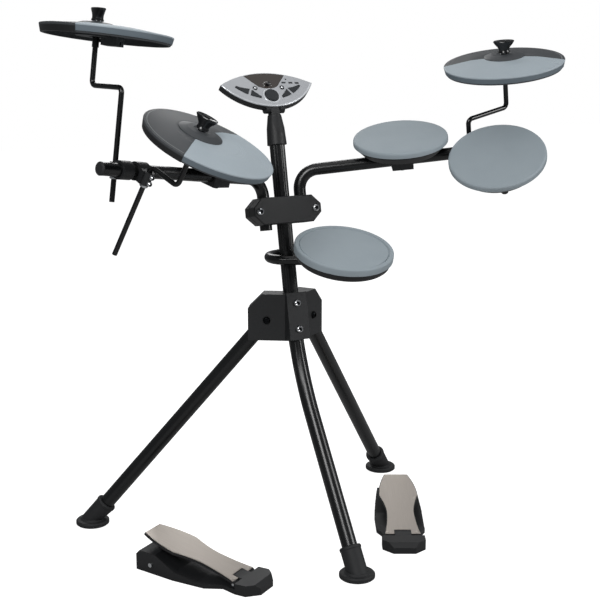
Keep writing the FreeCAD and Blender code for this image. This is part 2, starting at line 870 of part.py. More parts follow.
def make_snare_arm():
    arm = SNARE_ARM
    bars = []
    for part, radius in (("outer", s.snare_tube / 2), ("inner", s.snare_tube / 2 - s.snare_wall)):
        hook = doc.addObject("Part::Torus", "snare_hook_" + part)
        bind(hook, Radius1=s.hook_radius, Radius2=radius, Angle1=-180.0, Angle2=180.0, Angle3=s.hook_turn)
        hook.Placement = aim(arm.centre, Z_AXIS, Y_AXIS)
        bars.append(fuse("snare_bar_" + part, hook, rod("snare_run_" + part, radius, arm.leave, arm.end)))
    half = s.snare_collar_tall / 2
    collar_radius = s.leg_tube / 2 + s.snare_collar_wall
    collar = rod("snare_collar", collar_radius, arm.centre - MAST * half, arm.centre + MAST * half)
    lug = box("snare_lug", s.snare_lug, s.hook_radius + s.snare_tube / 2, s.snare_lug,
              arm.centre + V(0, 0, -s.snare_lug / 2))
    body = fuse("snare_arm_body", bars[0], collar, lug)
    mast_hole = rod("snare_mast_hole", s.leg_tube / 2 + s.running_fit, arm.centre - MAST * s.foot_dia,
                    arm.centre + MAST * s.foot_dia)
    tube = cut("snare_arm_tube", body, bars[1], mast_hole)
    plug = make_plug("snare_plug", s.snare_tube, s.snare_wall, arm.end, arm.along)
    node("snare_arm", group("snare_arm", tube, plug))


# Drum pad: a moulded rubber head on a hollow base that holds the sensor, and a clamp for the tube.
def make_drum_pad(pad):
    name = pad.name
    radius = pad.diameter / 2
    inner = radius - s.pad_rim
    head = lathe(name + "_head", [
        (0.0, -s.pad_recess), (inner, -s.pad_recess), (inner + s.pad_groove, -s.pad_recess - s.pad_groove),
        (inner + s.pad_groove * 2, 0.0), (radius, 0.0), (radius, -s.pad_rubber), (0.0, -s.pad_rubber)],
        rounds=[(4, s.pad_edge), (5, s.pad_recess)])
    node(name + "_rubber", head, pad.frame)

    top, bottom = -s.pad_rubber, -(s.pad_rubber + s.pad_base)
    wide, narrow = radius - s.pad_inset, radius - s.pad_inset - s.pad_taper
    dish = lathe(name + "_dish", [
        (0.0, bottom), (narrow, bottom), (wide, top - s.pad_wall), (wide, top), (wide - s.pad_wall, top),
        (wide - s.pad_wall, top - s.pad_wall), (narrow - s.pad_wall, bottom + s.pad_wall),
        (0.0, bottom + s.pad_wall)], rounds=[(1, s.pad_wall / 2)])
    # The socket sits near the edge, clear of the tube, where a straight plug can come up to it.
    outward = V(math.cos(pad.socket_turn), math.sin(pad.socket_turn), 0)
    pad.socket = outward * (narrow - s.socket_dia) + Z_AXIS * (bottom - s.socket_reach)
    barrel = cylinder(name + "_socket", s.socket_dia / 2, s.socket_reach + s.pad_wall / 2, pad.socket)
    bore = cylinder(name + "_socket_bore", s.socket_bore / 2, s.socket_reach, pad.socket)
    shell = cut(name + "_shell", fuse(name + "_shell_body", dish, barrel), bore)
    steel = cylinder(name + "_steel", wide - s.pad_wall - s.clearance, s.pad_plate,
                     Z_AXIS * (top - s.pad_plate))
    foam = cylinder(name + "_sensor", s.sensor_dia / 2, s.pad_base - s.pad_wall - s.pad_plate,
                    Z_AXIS * (bottom + s.pad_wall))
    node(name + "_base", group(name + "_base", shell, steel, foam), pad.frame)

    to_pad = pad.frame.inverse()
    grip = to_pad.multVec(pad.grip)
    run = unit(to_pad.Rotation.multVec(pad.arm.along))
    half_length = s.pad_clamp_length / 2
    half_wide = pad.arm.tube / 2 + s.pad_clamp_wall
    block_top = float(bottom)
    block_low = -pad.lift - half_wide
    block = box(name + "_block", s.pad_clamp_length, half_wide * 2, block_top - block_low,
                (grip.x - half_length, grip.y - half_wide, block_low))
    reach = s.pad_clamp_length
    bore = rod(name + "_tube_bore", pad.arm.tube / 2 + s.running_fit, grip - run * reach,
               grip + run * reach)
    screw_from = V(grip.x, grip.y, block_low)
    screw_hole = cylinder(name + "_screw_hole", s.pad_screw / 2, s.pad_clamp_wall + s.overrun, screw_from)
    clamp = cut(name + "_clamp_body", block, bore, screw_hole)
    shank = cylinder(name + "_screw", s.pad_screw / 2, s.pad_clamp_wall - s.pad_screw_short, screw_from)
    knob = cylinder(name + "_screw_knob", s.pad_screw_knob / 2, s.pad_clamp_wall,
                    screw_from - Z_AXIS * s.pad_clamp_wall)
    screw = fuse(name + "_clamp_screw", shank, knob)
    node(name + "_clamp", group(name + "_clamp", clamp, screw), pad.frame)


# Cymbal pad: a dished plastic body held off its middle, with rubber over the part that faces the drummer.
def make_cymbal(cymbal):
    name = cymbal.name
    radius = cymbal.diameter / 2
    bell = s.bell_dia / 2
    rim_top = s.bow_top - s.bow_drop
    rim_low = rim_top - s.rim_tall
    foot = radius - s.rim_undercut
    core_top = s.bow_top - s.skin
    under = core_top - s.shell
    inside = foot - s.skin - s.shell
    middle = V(s.mount_off, 0, 0)
    core = lathe(name + "_core", [
        (0.0, core_top), (s.bow_flat, core_top), (radius - s.skin, rim_top - s.skin),
        (foot - s.skin, rim_low), (inside, rim_low), (inside, rim_top - s.skin - s.shell),
        (s.bow_flat, under), (0.0, under)])
    core.Placement.Base = middle
    skin = lathe(name + "_skin", [
        (0.0, s.bow_top), (s.bow_flat, s.bow_top), (radius, rim_top), (foot, rim_low),
        (foot - s.skin, rim_low), (radius - s.skin, rim_top - s.skin), (s.bow_flat, core_top),
        (0.0, core_top)], rounds=[(2, s.rim_edge)])
    skin.Placement.Base = middle
    # The wedge between the two seams opens from the rod towards the drummer.
    half = math.radians(s.grey_span / 2)
    far = cymbal.diameter
    near, side = far * math.cos(half), far * math.sin(half)
    sector = outline(name + "_sector", (0.0, 0.0), [(near, -side)], [(far, -side)], [(far, side)],
                     [(near, side)], [(0.0, 0.0)])
    wedge = extrude(name + "_wedge", sector, s.bell_top - rim_low + s.overrun * 2,
                    start=rim_low - s.overrun)
    dark = cut(name + "_dark", skin, wedge)
    dome = lathe(name + "_bell", [
        (0.0, under + s.shell / 2), (bell, under + s.shell / 2), (bell, s.bow_top + s.bell_step),
        (bell - s.bell_slope, s.bell_top), (0.0, s.bell_top)])
    housing = cylinder(name + "_housing", s.housing_dia / 2, s.housing_deep,
                       Z_AXIS * (under - s.housing_deep))
    # The socket block reaches below the rim, so that a straight plug passes under it.
    block_low = rim_low - s.socket_block_below
    block = box(name + "_socket_block", s.socket_block_length, s.socket_block_width, under - block_low,
                (s.socket_block_start, -s.socket_block_width / 2, block_low))
    cymbal.socket = V(s.socket_block_start + s.socket_block_length, 0, block_low + s.socket_block_up)
    socket = rod(name + "_socket_bore", s.socket_bore / 2, cymbal.socket - X_AXIS * s.socket_dia,
                 cymbal.socket + X_AXIS * s.overrun)
    cup = ball(name + "_cup", s.ball_dia / 2 + s.clearance)
    hole = cylinder(name + "_hole", s.housing_hole / 2, s.housing_deep + s.overrun,
                    Z_AXIS * (under - s.housing_deep - s.overrun))
    body = fuse(name + "_body", core, dark, dome, housing, block)
    node(name + "_cymbal", cut(name + "_cymbal", body, cup, hole, socket), cymbal.frame)
    bell_cut = cylinder(name + "_bell_cut", bell, s.bell_top - rim_low, Z_AXIS * rim_low)
    zone = common(name + "_zone", skin, wedge)
    node(name + "_rubber", cut(name + "_rubber", zone, bell_cut), cymbal.frame)


# Rod: bent to a Z, with a stop sleeve and its screw, and the ball that the cymbal pad rocks on.
def make_rod(cymbal):
    name = cymbal.name
    tip = cymbal.ball + cymbal.up * s.rod_tip
    bar = bent_bar(name + "_bar", [cymbal.low, cymbal.knee, cymbal.elbow, tip], s.rod_dia / 2, s.rod_bend)
    seat = ball(name + "_seat", s.ball_dia / 2)
    stop = cylinder(name + "_stop", s.stop_dia / 2, s.stop_tall + s.ball_dia / 2,
                    -Z_AXIS * (s.stop_tall + s.ball_dia / 2))
    screw_height = -Z_AXIS * (s.stop_tall / 2 + s.ball_dia / 2)
    screw = rod(name + "_stop_screw", s.stop_screw / 2, screw_height,
                screw_height + X_AXIS * s.stop_screw_out)
    through = cylinder(name + "_stop_bore", s.rod_dia / 2, s.rod_upper, -Z_AXIS * (s.rod_upper / 2))
    sleeve = cut(name + "_sleeve", fuse(name + "_sleeve_body", seat, stop, screw), through)
    sleeve.Placement = cymbal.frame
    node(name + "_rod", group(name + "_rod", bar, sleeve))


def make_wing_nut(cymbal):
    name = cymbal.name
    low = s.ball_dia / 2 + s.clearance
    top = low + s.nut_tall
    flare = [(0.0, low), (s.nut_foot_dia / 2, low), (s.nut_top_dia / 2, top), (0.0, top)]
    hub = lathe(name + "_nut_hub", flare, rounds=[(2, s.rim_edge)])
    wings = box(name + "_nut_wings", s.nut_span, s.nut_wing, s.nut_wing_tall,
                (-s.nut_span / 2, -s.nut_wing / 2, top - s.nut_wing_tall))
    bore = cylinder(name + "_nut_bore", s.rod_dia / 2 + s.running_fit, s.rod_tip, Z_AXIS * s.running_fit)
    body = fuse(name + "_nut_body", hub, wings)
    node(name + "_wing_nut", cut(name + "_wing_nut", body, bore), cymbal.frame)


# Rod clamp: one band round the arm and one round the rod, joined by a web with two bolts.
def make_rod_clamp(cymbal):
    name = cymbal.name + "_rod_clamp"
    half = s.rod_clamp_length / 2
    beside = cymbal.near * cymbal.side
    along = cymbal.arm.along
    band = rod(name + "_band", s.arm_tube / 2 + s.rod_clamp_wall, cymbal.grip - along * half,
               cymbal.grip + along * half)
    grip = rod(name + "_grip", s.rod_dia / 2 + s.rod_clamp_wall, cymbal.foot - cymbal.up * half,
               cymbal.foot + cymbal.up * half)
    web = box(name + "_web", s.rod_clamp_length, s.rod_gap, s.rod_clamp_length, (-half, 0.0, -half))
    towards = 0.0 if cymbal.up.cross(along).dot(beside) > 0 else -s.rod_gap
    web.Placement = shifted(aim(cymbal.grip, cymbal.up, along), -half, towards, -half)
    reach = s.rod_clamp_length
    arm_bore = rod(name + "_arm_bore", s.arm_tube / 2 + s.running_fit, cymbal.grip - along * reach,
                   cymbal.grip + along * reach)
    rod_bore = rod(name + "_rod_bore", s.rod_dia / 2 + s.running_fit, cymbal.foot - cymbal.up * reach,
                   cymbal.foot + cymbal.up * reach)
    body = cut(name + "_body", fuse(name + "_solid", band, grip, web), arm_bore, rod_bore)
    bolts = []
    for number, sign in enumerate((-1, 1)):
        seat = cymbal.foot + cymbal.up * (sign * half / 2) + beside * (s.rod_dia / 2 + s.rod_clamp_wall)
        bolts.append(rod(f"{name}_bolt_{number}", s.rod_clamp_bolt / 2, seat,
                         seat + beside * s.rod_clamp_bolt_out))
    node(name, group(name, body, *bolts))


# Neck: a tapered sleeve on top of the mast, with the knuckle that the module tilts on.
HINGE = on_mast(s.neck_station + s.neck_tall + s.knuckle_above)


def make_neck():
    foot, waist, top = s.neck_foot_dia / 2, s.neck_waist_dia / 2, s.neck_top_dia / 2
    middle_share = 0.55
    taper = [(0.0, 0.0), (foot, 0.0), (waist, s.neck_tall * middle_share), (top, s.neck_tall),
             (0.0, s.neck_tall)]
    sleeve = lathe("neck_sleeve", taper, rounds=[(1, s.rim_edge), (3, s.rim_edge)])
    sleeve.Placement = aim(on_mast(s.neck_station), MAST)
    half = s.knuckle_width / 2
    knuckle = rod("neck_knuckle", s.knuckle_dia / 2, HINGE - X_AXIS * half, HINGE + X_AXIS * half)
    web = box("neck_web", s.knuckle_width, s.knuckle_dia, s.knuckle_above * 2, (0.0, 0.0, 0.0))
    web.Placement = shifted(aim(HINGE, MAST), -half, -s.knuckle_dia / 2, -s.knuckle_above * 2)
    pin = rod("neck_pin", s.hinge_pin / 2, HINGE - X_AXIS * (s.hinge_pin_length / 2),
              HINGE + X_AXIS * (s.hinge_pin_length / 2))
    socket = rod("neck_socket", s.leg_tube / 2, on_mast(s.neck_station - s.overrun), on_mast(s.mast_top))
    node("module_neck", cut("module_neck", fuse("neck_body", sleeve, knuckle, web, pin), socket))


# Sound module: its frame has X across, Y up the sloping panel and Z out of it.
SLOPE = math.radians(s.module_slope)
PANEL_UP = V(0, math.cos(SLOPE), math.sin(SLOPE))
PANEL_OUT = X_AXIS.cross(PANEL_UP)
MODULE = HINGE - PANEL_UP * s.module_up + PANEL_OUT * s.module_under
MODULE_FRAME = aim(MODULE, PANEL_OUT)


# The panel is a lens between two arcs that meet at its tips.
def module_outline(name, inset):
    half, tip = s.module_half - inset * 2, s.module_tip
    return outline(name, (half, tip), ((0.0, s.module_tall - inset), (-half, tip)),
                   ((0.0, inset), (half, tip)))


# A shaped button lies between two arcs about one centre above the panel, and narrows to one end.
def shaped_button(name, side, wide, narrow, grow):
    outer, inner, tip = s.button_outer + grow, s.button_inner - grow, s.button_tip - grow
    spread = math.degrees(grow / s.button_outer) * (1 if wide > narrow else -1)
    first, last = wide + spread, narrow - spread
    middle = (first + last) / 2

    def at(radius, angle):
        turn = math.radians(angle)
        return (side * radius * math.sin(turn), s.button_centre - radius * math.cos(turn))

    return outline(name, at(inner, first), [at(outer, first)], (at(outer, middle), at(outer, last)),
                   [at(tip, last)], (at((inner + tip) / 2, middle), at(inner, first)))


def window_outline(name, grow):
    head, foot = s.window_head + grow, s.window_foot - grow
    wide, low = s.window_head_half + grow, s.window_corner_half + grow
    crown, corner = s.window_crown + grow, s.window_corner
    return outline(name, (wide, head), ((0.0, crown), (-wide, head)), [(-low, corner)],
                   ((0.0, foot), (low, corner)), [(wide, head)])


def button_shapes():
    shapes = []
    for side, sign in (("left", -1), ("right", 1)):
        shapes.append((side + "_outer_button", sign, s.outer_button_wide, s.outer_button_narrow))
        shapes.append((side + "_inner_button", sign, s.inner_button_wide, s.inner_button_narrow))
    return shapes


def module_socket_places():
    under = -(s.panel_thick + s.case_deep)
    return [V(number * s.module_socket_pitch, s.module_socket_up, under) for number in (-1, 0, 1)]


def make_module():
    under = -(s.panel_thick + s.case_deep)
    step = -(s.panel_thick + s.case_rim)
    tiers = []
    for name, inset, start in (("rim", 0.0, step), ("back", s.case_step, under)):
        outer_outline = module_outline(f"case_{name}_outline", inset)
        outer = extrude(f"case_{name}_outer", outer_outline, -start, start=start)
        inner_outline = module_outline(f"case_{name}_hollow_outline", inset + s.case_wall)
        hollow = extrude(f"case_{name}_hollow", inner_outline, s.overrun - start - s.case_wall,
                         start=start + s.case_wall)
        tiers.append((outer, hollow))
    back = fuse("case_outer", *(outer for outer, _ in tiers))
    hollow = fuse("case_hollow", *(hollow for _, hollow in tiers))
    half = s.knuckle_width / 2 + s.clearance
    hinge = MODULE_FRAME.inverse().multVec(HINGE)
    boss_half = s.hinge_pin_length / 2 + s.case_wall
    boss_radius = s.knuckle_dia / 2 + s.case_wall
    boss = rod("case_boss", boss_radius, hinge - X_AXIS * boss_half, hinge + X_AXIS * boss_half)
    slot = rod("case_slot", boss_radius + s.clearance, hinge - X_AXIS * half, hinge + X_AXIS * half)
    throat = box("case_throat", half * 2, (boss_radius + s.clearance) * 2, s.case_deep, (0.0, 0.0, 0.0))
    down = MODULE_FRAME.Rotation.inverted().multVec(-MAST)
    throat.Placement = aim(hinge - X_AXIS * half - down.cross(X_AXIS) * (boss_radius + s.clearance), down,
                           X_AXIS)
    pin_bore = rod("case_pin_bore", s.hinge_pin / 2 + s.running_fit,
                   hinge - X_AXIS * (s.hinge_pin_length / 2 + s.clearance),
                   hinge + X_AXIS * (s.hinge_pin_length / 2 + s.clearance))
    face_cut = box("case_face_cut", s.module_half * 2, s.module_tall * 2, s.case_deep,
                   (-s.module_half, -s.module_tall / 2, -s.panel_thick))
    barrels, sockets = [], []
    for number, at in enumerate(module_socket_places()):
        barrels.append(cylinder(f"case_barrel_{number}", s.socket_dia / 2, s.socket_reach, at))
        sockets.append(cylinder(f"case_socket_{number}", s.socket_bore / 2,
                                s.socket_reach - s.socket_floor, at))
    shell = cut("case_shell", back, hollow)
    body = fuse("case_with_boss", shell, boss, *barrels)
    case = cut("case_body", body, slot, throat, pin_bore, face_cut, *sockets)
    board_outline = module_outline("board_outline", s.case_wall + s.clearance)
    post_top = s.panel_thick + s.button_stem + s.board_thick
    board = extrude("case_board_blank", board_outline, s.board_thick, start=-post_top)
    gap_reach = X_AXIS * (boss_half + s.clearance)
    board_gap = rod("case_board_gap", boss_radius + s.clearance * 2, hinge - gap_reach, hinge + gap_reach)
    posts = [cylinder(f"case_post_{number}", s.module_post / 2, -under - s.case_wall - post_top,
                      V(sign * s.module_half / 2, s.module_tip, under + s.case_wall))
             for number, sign in enumerate((-1, 1))]
    node("module_case", group("module_case", fuse("case_with_posts", case, *posts),
                              cut("case_board", board, board_gap)), MODULE_FRAME)

    sheet = extrude("panel_sheet", module_outline("panel_outline", 0.0), s.panel_thick,
                    start=-s.panel_thick)
    recess = extrude("panel_recess", window_outline("recess_outline", 0.0), s.window_thick + s.overrun,
                     start=-s.window_thick)
    dial_hole = cylinder("dial_hole", s.dial_dia / 2 + s.control_gap, s.overrun * 2,
                         V(0, s.dial_at, -s.overrun))
    knob_hole = cylinder("knob_hole", s.knob_dia / 2 + s.control_gap, s.overrun * 2,
                         V(0, s.knob_at, -s.overrun))
    holes = [recess, dial_hole, knob_hole]
    controls = []
    button_low = -(s.panel_thick + s.button_stem) + s.button_travel + s.clearance
    button_tall = s.button_proud - button_low
    for name, *shape in button_shapes():
        hole = shaped_button(name + "_hole_outline", *shape, s.control_gap)
        holes.append(extrude(name + "_hole", hole, s.overrun * 2, start=-s.overrun))
        controls.append((name, extrude(name, shaped_button(name + "_outline", *shape, 0.0), button_tall,
                                       start=button_low)))
    for side, sign in (("left", -1), ("right", 1)):
        at = V(sign * s.round_button_at, s.round_button_up, -s.overrun)
        name = f"{side}_round_button"
        holes.append(cylinder(name + "_hole", s.round_button / 2 + s.control_gap, s.overrun * 2, at))
        controls.append((name, cylinder(name, s.round_button / 2, button_tall, V(at.x, at.y, button_low))))
    node("module_panel", cut("module_panel", sheet, *holes), MODULE_FRAME)

    window = extrude("window_sheet", window_outline("window_outline", -s.running_fit), s.window_thick,
                     start=-s.window_thick)
    node("module_window", cut("module_window", window, knob_hole), MODULE_FRAME)

    stem_low = -(s.panel_thick + s.button_stem) + s.clearance
    dial = lathe("dial_body", [(0.0, stem_low), (s.dial_dia / 2, stem_low), (s.dial_dia / 2, s.dial_tall),
                               (0.0, s.dial_tall)], rounds=[(2, s.rim_edge)])
    node("module_dial", dial, shifted(MODULE_FRAME, 0.0, s.dial_at, 0.0))
    knob = lathe("knob_body", [(0.0, stem_low), (s.knob_dia / 2, stem_low), (s.knob_dia / 2, s.knob_tall),
                               (0.0, s.knob_tall)], rounds=[(2, s.rim_edge)])
    node("module_knob", knob, shifted(MODULE_FRAME, 0.0, s.knob_at, 0.0))
    for name, button in controls:
        start = button.Placement
        node(name, button, MODULE_FRAME.multiply(start))


# Pedals: the frame has its origin at the heel on the floor, Y towards the toe and Z up.
class Pedal:
    def __init__(self, name, heel_x, heel_y, turn):
        self.name = name
        self.frame = FreeCAD.Placement(V(heel_x, heel_y, 0), FreeCAD.Rotation(Z_AXIS, float(turn)))
        self.hinge = V(0, s.hinge_at, s.hinge_up)
        tilt = FreeCAD.Rotation(X_AXIS, float(s.footboard_rise))
        self.board = self.frame.multiply(FreeCAD.Placement(self.hinge, tilt))


PEDALS = [Pedal("hat", s.hat_heel_x, s.hat_heel_y, s.hat_pedal_turn),
          Pedal("kick", s.kick_heel_x, s.kick_heel_y, s.kick_pedal_turn)]


DOME_AT = s.pedal_length - s.dome_from_toe
BOARD_LONG = s.pedal_length - s.board_short

# The right side of a pedal's base seen from above, from heel to toe.
BASE_SIDE = [(s.heel_end_half, 0.0), (s.heel_half, s.heel_corner), (s.heel_half, s.heel_long),
             (s.waist_half, s.waist_at), (s.pedal_half, s.wide_from), (s.pedal_half, s.wide_to),
             (s.toe_half, s.pedal_length)]


def make_pedal_base(pedal):
    name = pedal.name + "_pedal_base"
    points = BASE_SIDE + mirrored(BASE_SIDE)
    shape = outline(name + "_outline", points[0], *([point] for point in points[1:] + points[:1]))
    plan = extrude(name + "_plan", shape, s.toe_tall)
    slope_end = s.pedal_length - s.toe_long
    profile = [(0.0, 0.0), (s.pedal_length, 0.0), (s.pedal_length, s.toe_tall - s.sole),
               (s.pedal_length - s.sole, s.toe_tall), (slope_end, s.toe_tall),
               (slope_end - s.toe_slope, s.sole * 2), (slope_end - s.toe_slope * 2, s.sole),
               (s.heel_long, s.sole), (s.heel_long, s.heel_tall), (s.sole, s.heel_tall),
               (0.0, s.heel_tall - s.sole)]
    slab = plate(name + "_profile", profile, s.pedal_half * 2)
    slab.Placement = aim(V(-s.pedal_half, 0, 0), Z_AXIS, Y_AXIS)
    solid = common(name + "_solid", plan, slab)
    lugs = []
    pin = pedal.hinge
    for number, sign in enumerate((-1, 1)):
        outer = s.board_heel_half - s.pedal_lug * 2
        low = V(sign * (outer - s.pedal_lug / 2) - s.pedal_lug / 2, pin.y - s.pedal_knuckle / 2, 0)
        lugs.append(box(f"{name}_lug_{number}", s.pedal_lug, s.pedal_knuckle, pin.z, (low.x, low.y, 0.0)))
        lugs.append(rod(f"{name}_eye_{number}", s.pedal_knuckle / 2, V(low.x, pin.y, pin.z),
                        V(low.x + s.pedal_lug, pin.y, pin.z)))
    well = cylinder(name + "_well", s.dome_dia / 2 + s.clearance * 2, s.toe_tall,
                    V(0, DOME_AT, s.toe_tall - s.dome_well))
    pin_hole = rod(name + "_pin_hole", s.pedal_pin / 2, pin - X_AXIS * s.pedal_half,
                   pin + X_AXIS * s.pedal_half)
    screw_holes = []
    for number, sign in enumerate((-1, 1)):
        start, end = side_screw_line(sign)
        screw_holes.append(rod(f"{name}_screw_hole_{number}", s.side_screw / 4, start, end))
    body = fuse(name + "_body", solid, *lugs)
    node(name, cut(name, body, well, pin_hole, *screw_holes), pedal.frame)


# The side screws sit half way along the toe block, square to its long sides.
def side_screw_line(sign):
    low, high = BASE_SIDE[-2:]
    middle = V(sign * (low[0] + high[0]) / 2, (low[1] + high[1]) / 2 + s.side_screw, s.side_screw_up)
    slope = (low[0] - high[0]) / (high[1] - low[1])
    middle.x -= sign * slope * s.side_screw
    out = unit(V(sign, slope, 0))
    return middle - out * s.side_screw, middle


def make_pedal_hardware():
    pieces = []
    domes = []
    for pedal in PEDALS:
        name = pedal.name + "_pedal"
        pin = pedal.hinge
        half = s.board_heel_half
        bar = rod(name + "_pin", s.pedal_pin / 2, pin - X_AXIS * half, pin + X_AXIS * half)
        screws = []
        for number, sign in enumerate((-1, 1)):
            start, end = side_screw_line(sign)
            out = unit(end - start)
            shank = rod(f"{name}_screw_shank_{number}", s.side_screw / 4, start, end)
            head = rod(f"{name}_screw_head_{number}", s.side_screw / 2, end, end + out * s.side_screw_head)
            screws.append(fuse(f"{name}_screw_{number}", shank, head))
        floor = s.toe_tall - s.dome_well
        switch = cylinder(name + "_switch", s.switch_dia / 2, s.switch_tall, V(0, DOME_AT, floor))
        hardware = group(name + "_hardware", bar, *screws, switch)
        hardware.Placement = pedal.frame
        pieces.append(hardware)
        low = floor + s.switch_tall
        tilt = math.radians(s.footboard_rise)
        foot, crown = s.dome_dia / 2, s.dome_dia / 2 - s.dome_wall
        reach = DOME_AT - s.hinge_at - crown
        top = s.hinge_up + reach * math.tan(tilt) + s.footboard_under / math.cos(tilt) - s.clearance
        dome = lathe(name + "_dome", [(s.dome_wall, low), (foot, low), (crown, top), (s.dome_wall, top)])
        dome.Placement = pedal.frame.multiply(FreeCAD.Placement(V(0, DOME_AT, 0), FreeCAD.Rotation()))
        domes.append(dome)
    node("pedal_hardware", group("pedal_hardware", *pieces))
    node("pedal_return_domes", group("pedal_return_domes", *domes))


def board_outline(name, inset, notch):
    heel = (s.board_heel_half - inset, 0.0 + inset)
    waist = (s.board_waist_half - inset, s.board_waist)
    widest = (s.board_half - inset, s.board_widest)
    toe = (s.board_toe_half - inset, BOARD_LONG - inset)

    def bowed(low, high, outward):
        return ((low[0] + high[0]) / 2 + outward, (low[1] + high[1]) / 2)

    side = [heel, bowed(heel, waist, -s.board_bulge / 2), waist, bowed(waist, widest, -s.board_bulge / 2),
            widest, bowed(widest, toe, s.board_bulge), toe]
    legs = [(side[1], side[2]), (side[3], side[4]), (side[5], side[6])]
    left = mirrored(side)
    legs += [[left[0]], (left[1], left[2]), (left[3], left[4]), (left[5], left[6])]
    half = s.tread_notch / 2
    if notch:
        low, deep = inset, inset + s.tread_notch_deep
        legs += [[(-half, low)], [(-half, deep)], [(half, deep)], [(half, low)]]
    legs.append([side[0]])
    return outline(name, side[0], *legs)


def make_footboard(pedal):
    name = pedal.name + "_footboard"
    shape = board_outline(name + "_outline", 0.0, False)
    slab = extrude(name + "_slab", shape, s.footboard, start=s.footboard_under)
    knuckles = []
    half = s.board_heel_half
    for number, sign in enumerate((-1, 1)):
        outer = V(sign * (half - s.tread_inset), 0, 0)
        inner = V(sign * (half - s.tread_inset - s.pedal_lug), 0, 0)
        knuckles.append(rod(f"{name}_knuckle_{number}", s.pedal_knuckle / 2, inner, outer))
    lug_outer = half - s.pedal_lug * 2
    gaps = []
    for number, sign in enumerate((-1, 1)):
        low = sign * (lug_outer - s.pedal_lug / 2) - s.pedal_lug / 2 - s.clearance
        gaps.append(box(f"{name}_gap_{number}", s.pedal_lug + s.clearance * 2, s.pedal_knuckle * 2,
                        s.pedal_knuckle * 2, (low, -s.pedal_knuckle, -s.pedal_knuckle)))
    bore = rod(name + "_bore", s.pedal_pin / 2 + s.running_fit, -X_AXIS * s.pedal_half,
               X_AXIS * s.pedal_half)
    body = fuse(name + "_body", slab, *knuckles)
    node(name, cut(name, body, bore, *gaps), pedal.board)
    shape = board_outline(pedal.name + "_tread_outline", s.tread_inset, True)
    steel = extrude(pedal.name + "_tread", shape, s.tread, start=s.footboard_under + s.footboard)
    node(pedal.name + "_tread", steel, pedal.board.multiply(steel.Placement))


def make_all():
    make_mast()
    make_foot("front_foot", V(), FRONT_LEG)
    make_hub()
    make_stand_bolts()
    make_rack_clamp()
    make_neck()
    for leg in REAR_LEGS:
        make_rear_leg(leg)
    for arm in (LEFT_ARM, RIGHT_ARM):
        make_arm(arm)
    make_snare_arm()
    for pad in DRUM_PADS:
        make_drum_pad(pad)
    for cymbal in CYMBALS:
        make_cymbal(cymbal)
        make_rod(cymbal)
        make_wing_nut(cymbal)
        make_rod_clamp(cymbal)
    make_module()
    for pedal in PEDALS:
        make_pedal_base(pedal)
        make_footboard(pedal)
    make_pedal_hardware()


def check_and_write():
    doc.recompute()
    for thing in doc.Objects:
        if "Invalid" in thing.State or "Error" in thing.State:
            raise RuntimeError(f"{thing.Name} did not compute: {thing.State}")
    os.makedirs("parts", exist_ok=True)
    for name, made in NODES.items():
        shape = made.Shape
        if shape.isNull() or not shape.isValid() or not shape.Solids:
            raise RuntimeError(f"{name} has no valid solid")
        shape.exportStep(f"parts/{name}.step")
        print(f"{name}: {len(shape.Solids)} solids, {shape.Volume:.0f} mm3")


make_all()
check_and_write()
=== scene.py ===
# %% [markdown]
# # An electronic drum kit
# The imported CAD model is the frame: every tube, clamp and pad is already in its real
# place and size. This script dresses it. Hard parts whose CAD shape is right keep that
# shape and get rounded edges and a material. Rubber heads, cymbal faces, nuts, bolts,
# feet and controls are rebuilt as finer meshes that stand for their CAD nodes.

# %% Load the frame
import json
import math
import bmesh
import bpy
import numpy as np
from mathutils import Matrix, Vector


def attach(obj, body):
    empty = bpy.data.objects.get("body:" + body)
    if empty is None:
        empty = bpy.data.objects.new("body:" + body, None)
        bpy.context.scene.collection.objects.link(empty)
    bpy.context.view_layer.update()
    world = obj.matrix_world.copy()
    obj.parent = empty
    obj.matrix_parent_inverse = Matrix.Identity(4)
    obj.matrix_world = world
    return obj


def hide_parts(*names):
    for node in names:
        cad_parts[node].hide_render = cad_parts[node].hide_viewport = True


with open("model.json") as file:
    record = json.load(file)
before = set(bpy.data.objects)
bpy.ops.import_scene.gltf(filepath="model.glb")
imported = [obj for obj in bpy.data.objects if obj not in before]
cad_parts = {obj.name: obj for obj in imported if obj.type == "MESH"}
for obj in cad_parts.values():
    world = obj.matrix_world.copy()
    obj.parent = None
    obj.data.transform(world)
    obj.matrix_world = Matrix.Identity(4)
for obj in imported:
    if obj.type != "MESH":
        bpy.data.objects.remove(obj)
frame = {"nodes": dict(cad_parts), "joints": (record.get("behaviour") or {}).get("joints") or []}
nodes = frame["nodes"]
joints = {joint["name"]: joint for joint in frame["joints"]}
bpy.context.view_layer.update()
scene = bpy.context.scene
MM = 0.001
X = Vector((1, 0, 0))
Z = Vector((0, 0, 1))
PADS = ("snare", "first_tom", "second_tom", "floor_tom")
CYMBALS = ("crash", "hat", "ride")
PEDALS = ("hat", "kick")
# The two sides, as the drummer sees them, and their signs along X.
SIDES = {"left": -1, "right": 1}


def spot(joint):
    return Vector(joints[joint]["pos_m"])


def axis(joint):
    return Vector(joints[joint]["axis"])


# %% [markdown]
# The camera comes first, because every later choice is judged through it. Its place was
# solved from the ellipses that the round pads make in the photograph. It looks from 28
# degrees to the drummer's left, about as high as the cymbals, with a 75 mm lens.

# %% Camera
camera = bpy.data.objects.new("camera", bpy.data.cameras.new("camera"))
scene.collection.objects.link(camera)
camera.data.sensor_width = 36.0
camera.data.lens = 75.0
camera.location = Vector((-1181.5, -1970.7, 1058.0)) * MM
target = Vector((16.7, 269.8, 506.3)) * MM
camera.rotation_mode = "QUATERNION"
camera.rotation_quaternion = (target - camera.location).to_track_quat("-Z", "Y")
scene.camera = camera
print("camera", round((target - camera.location).length, 3), "m from its target")

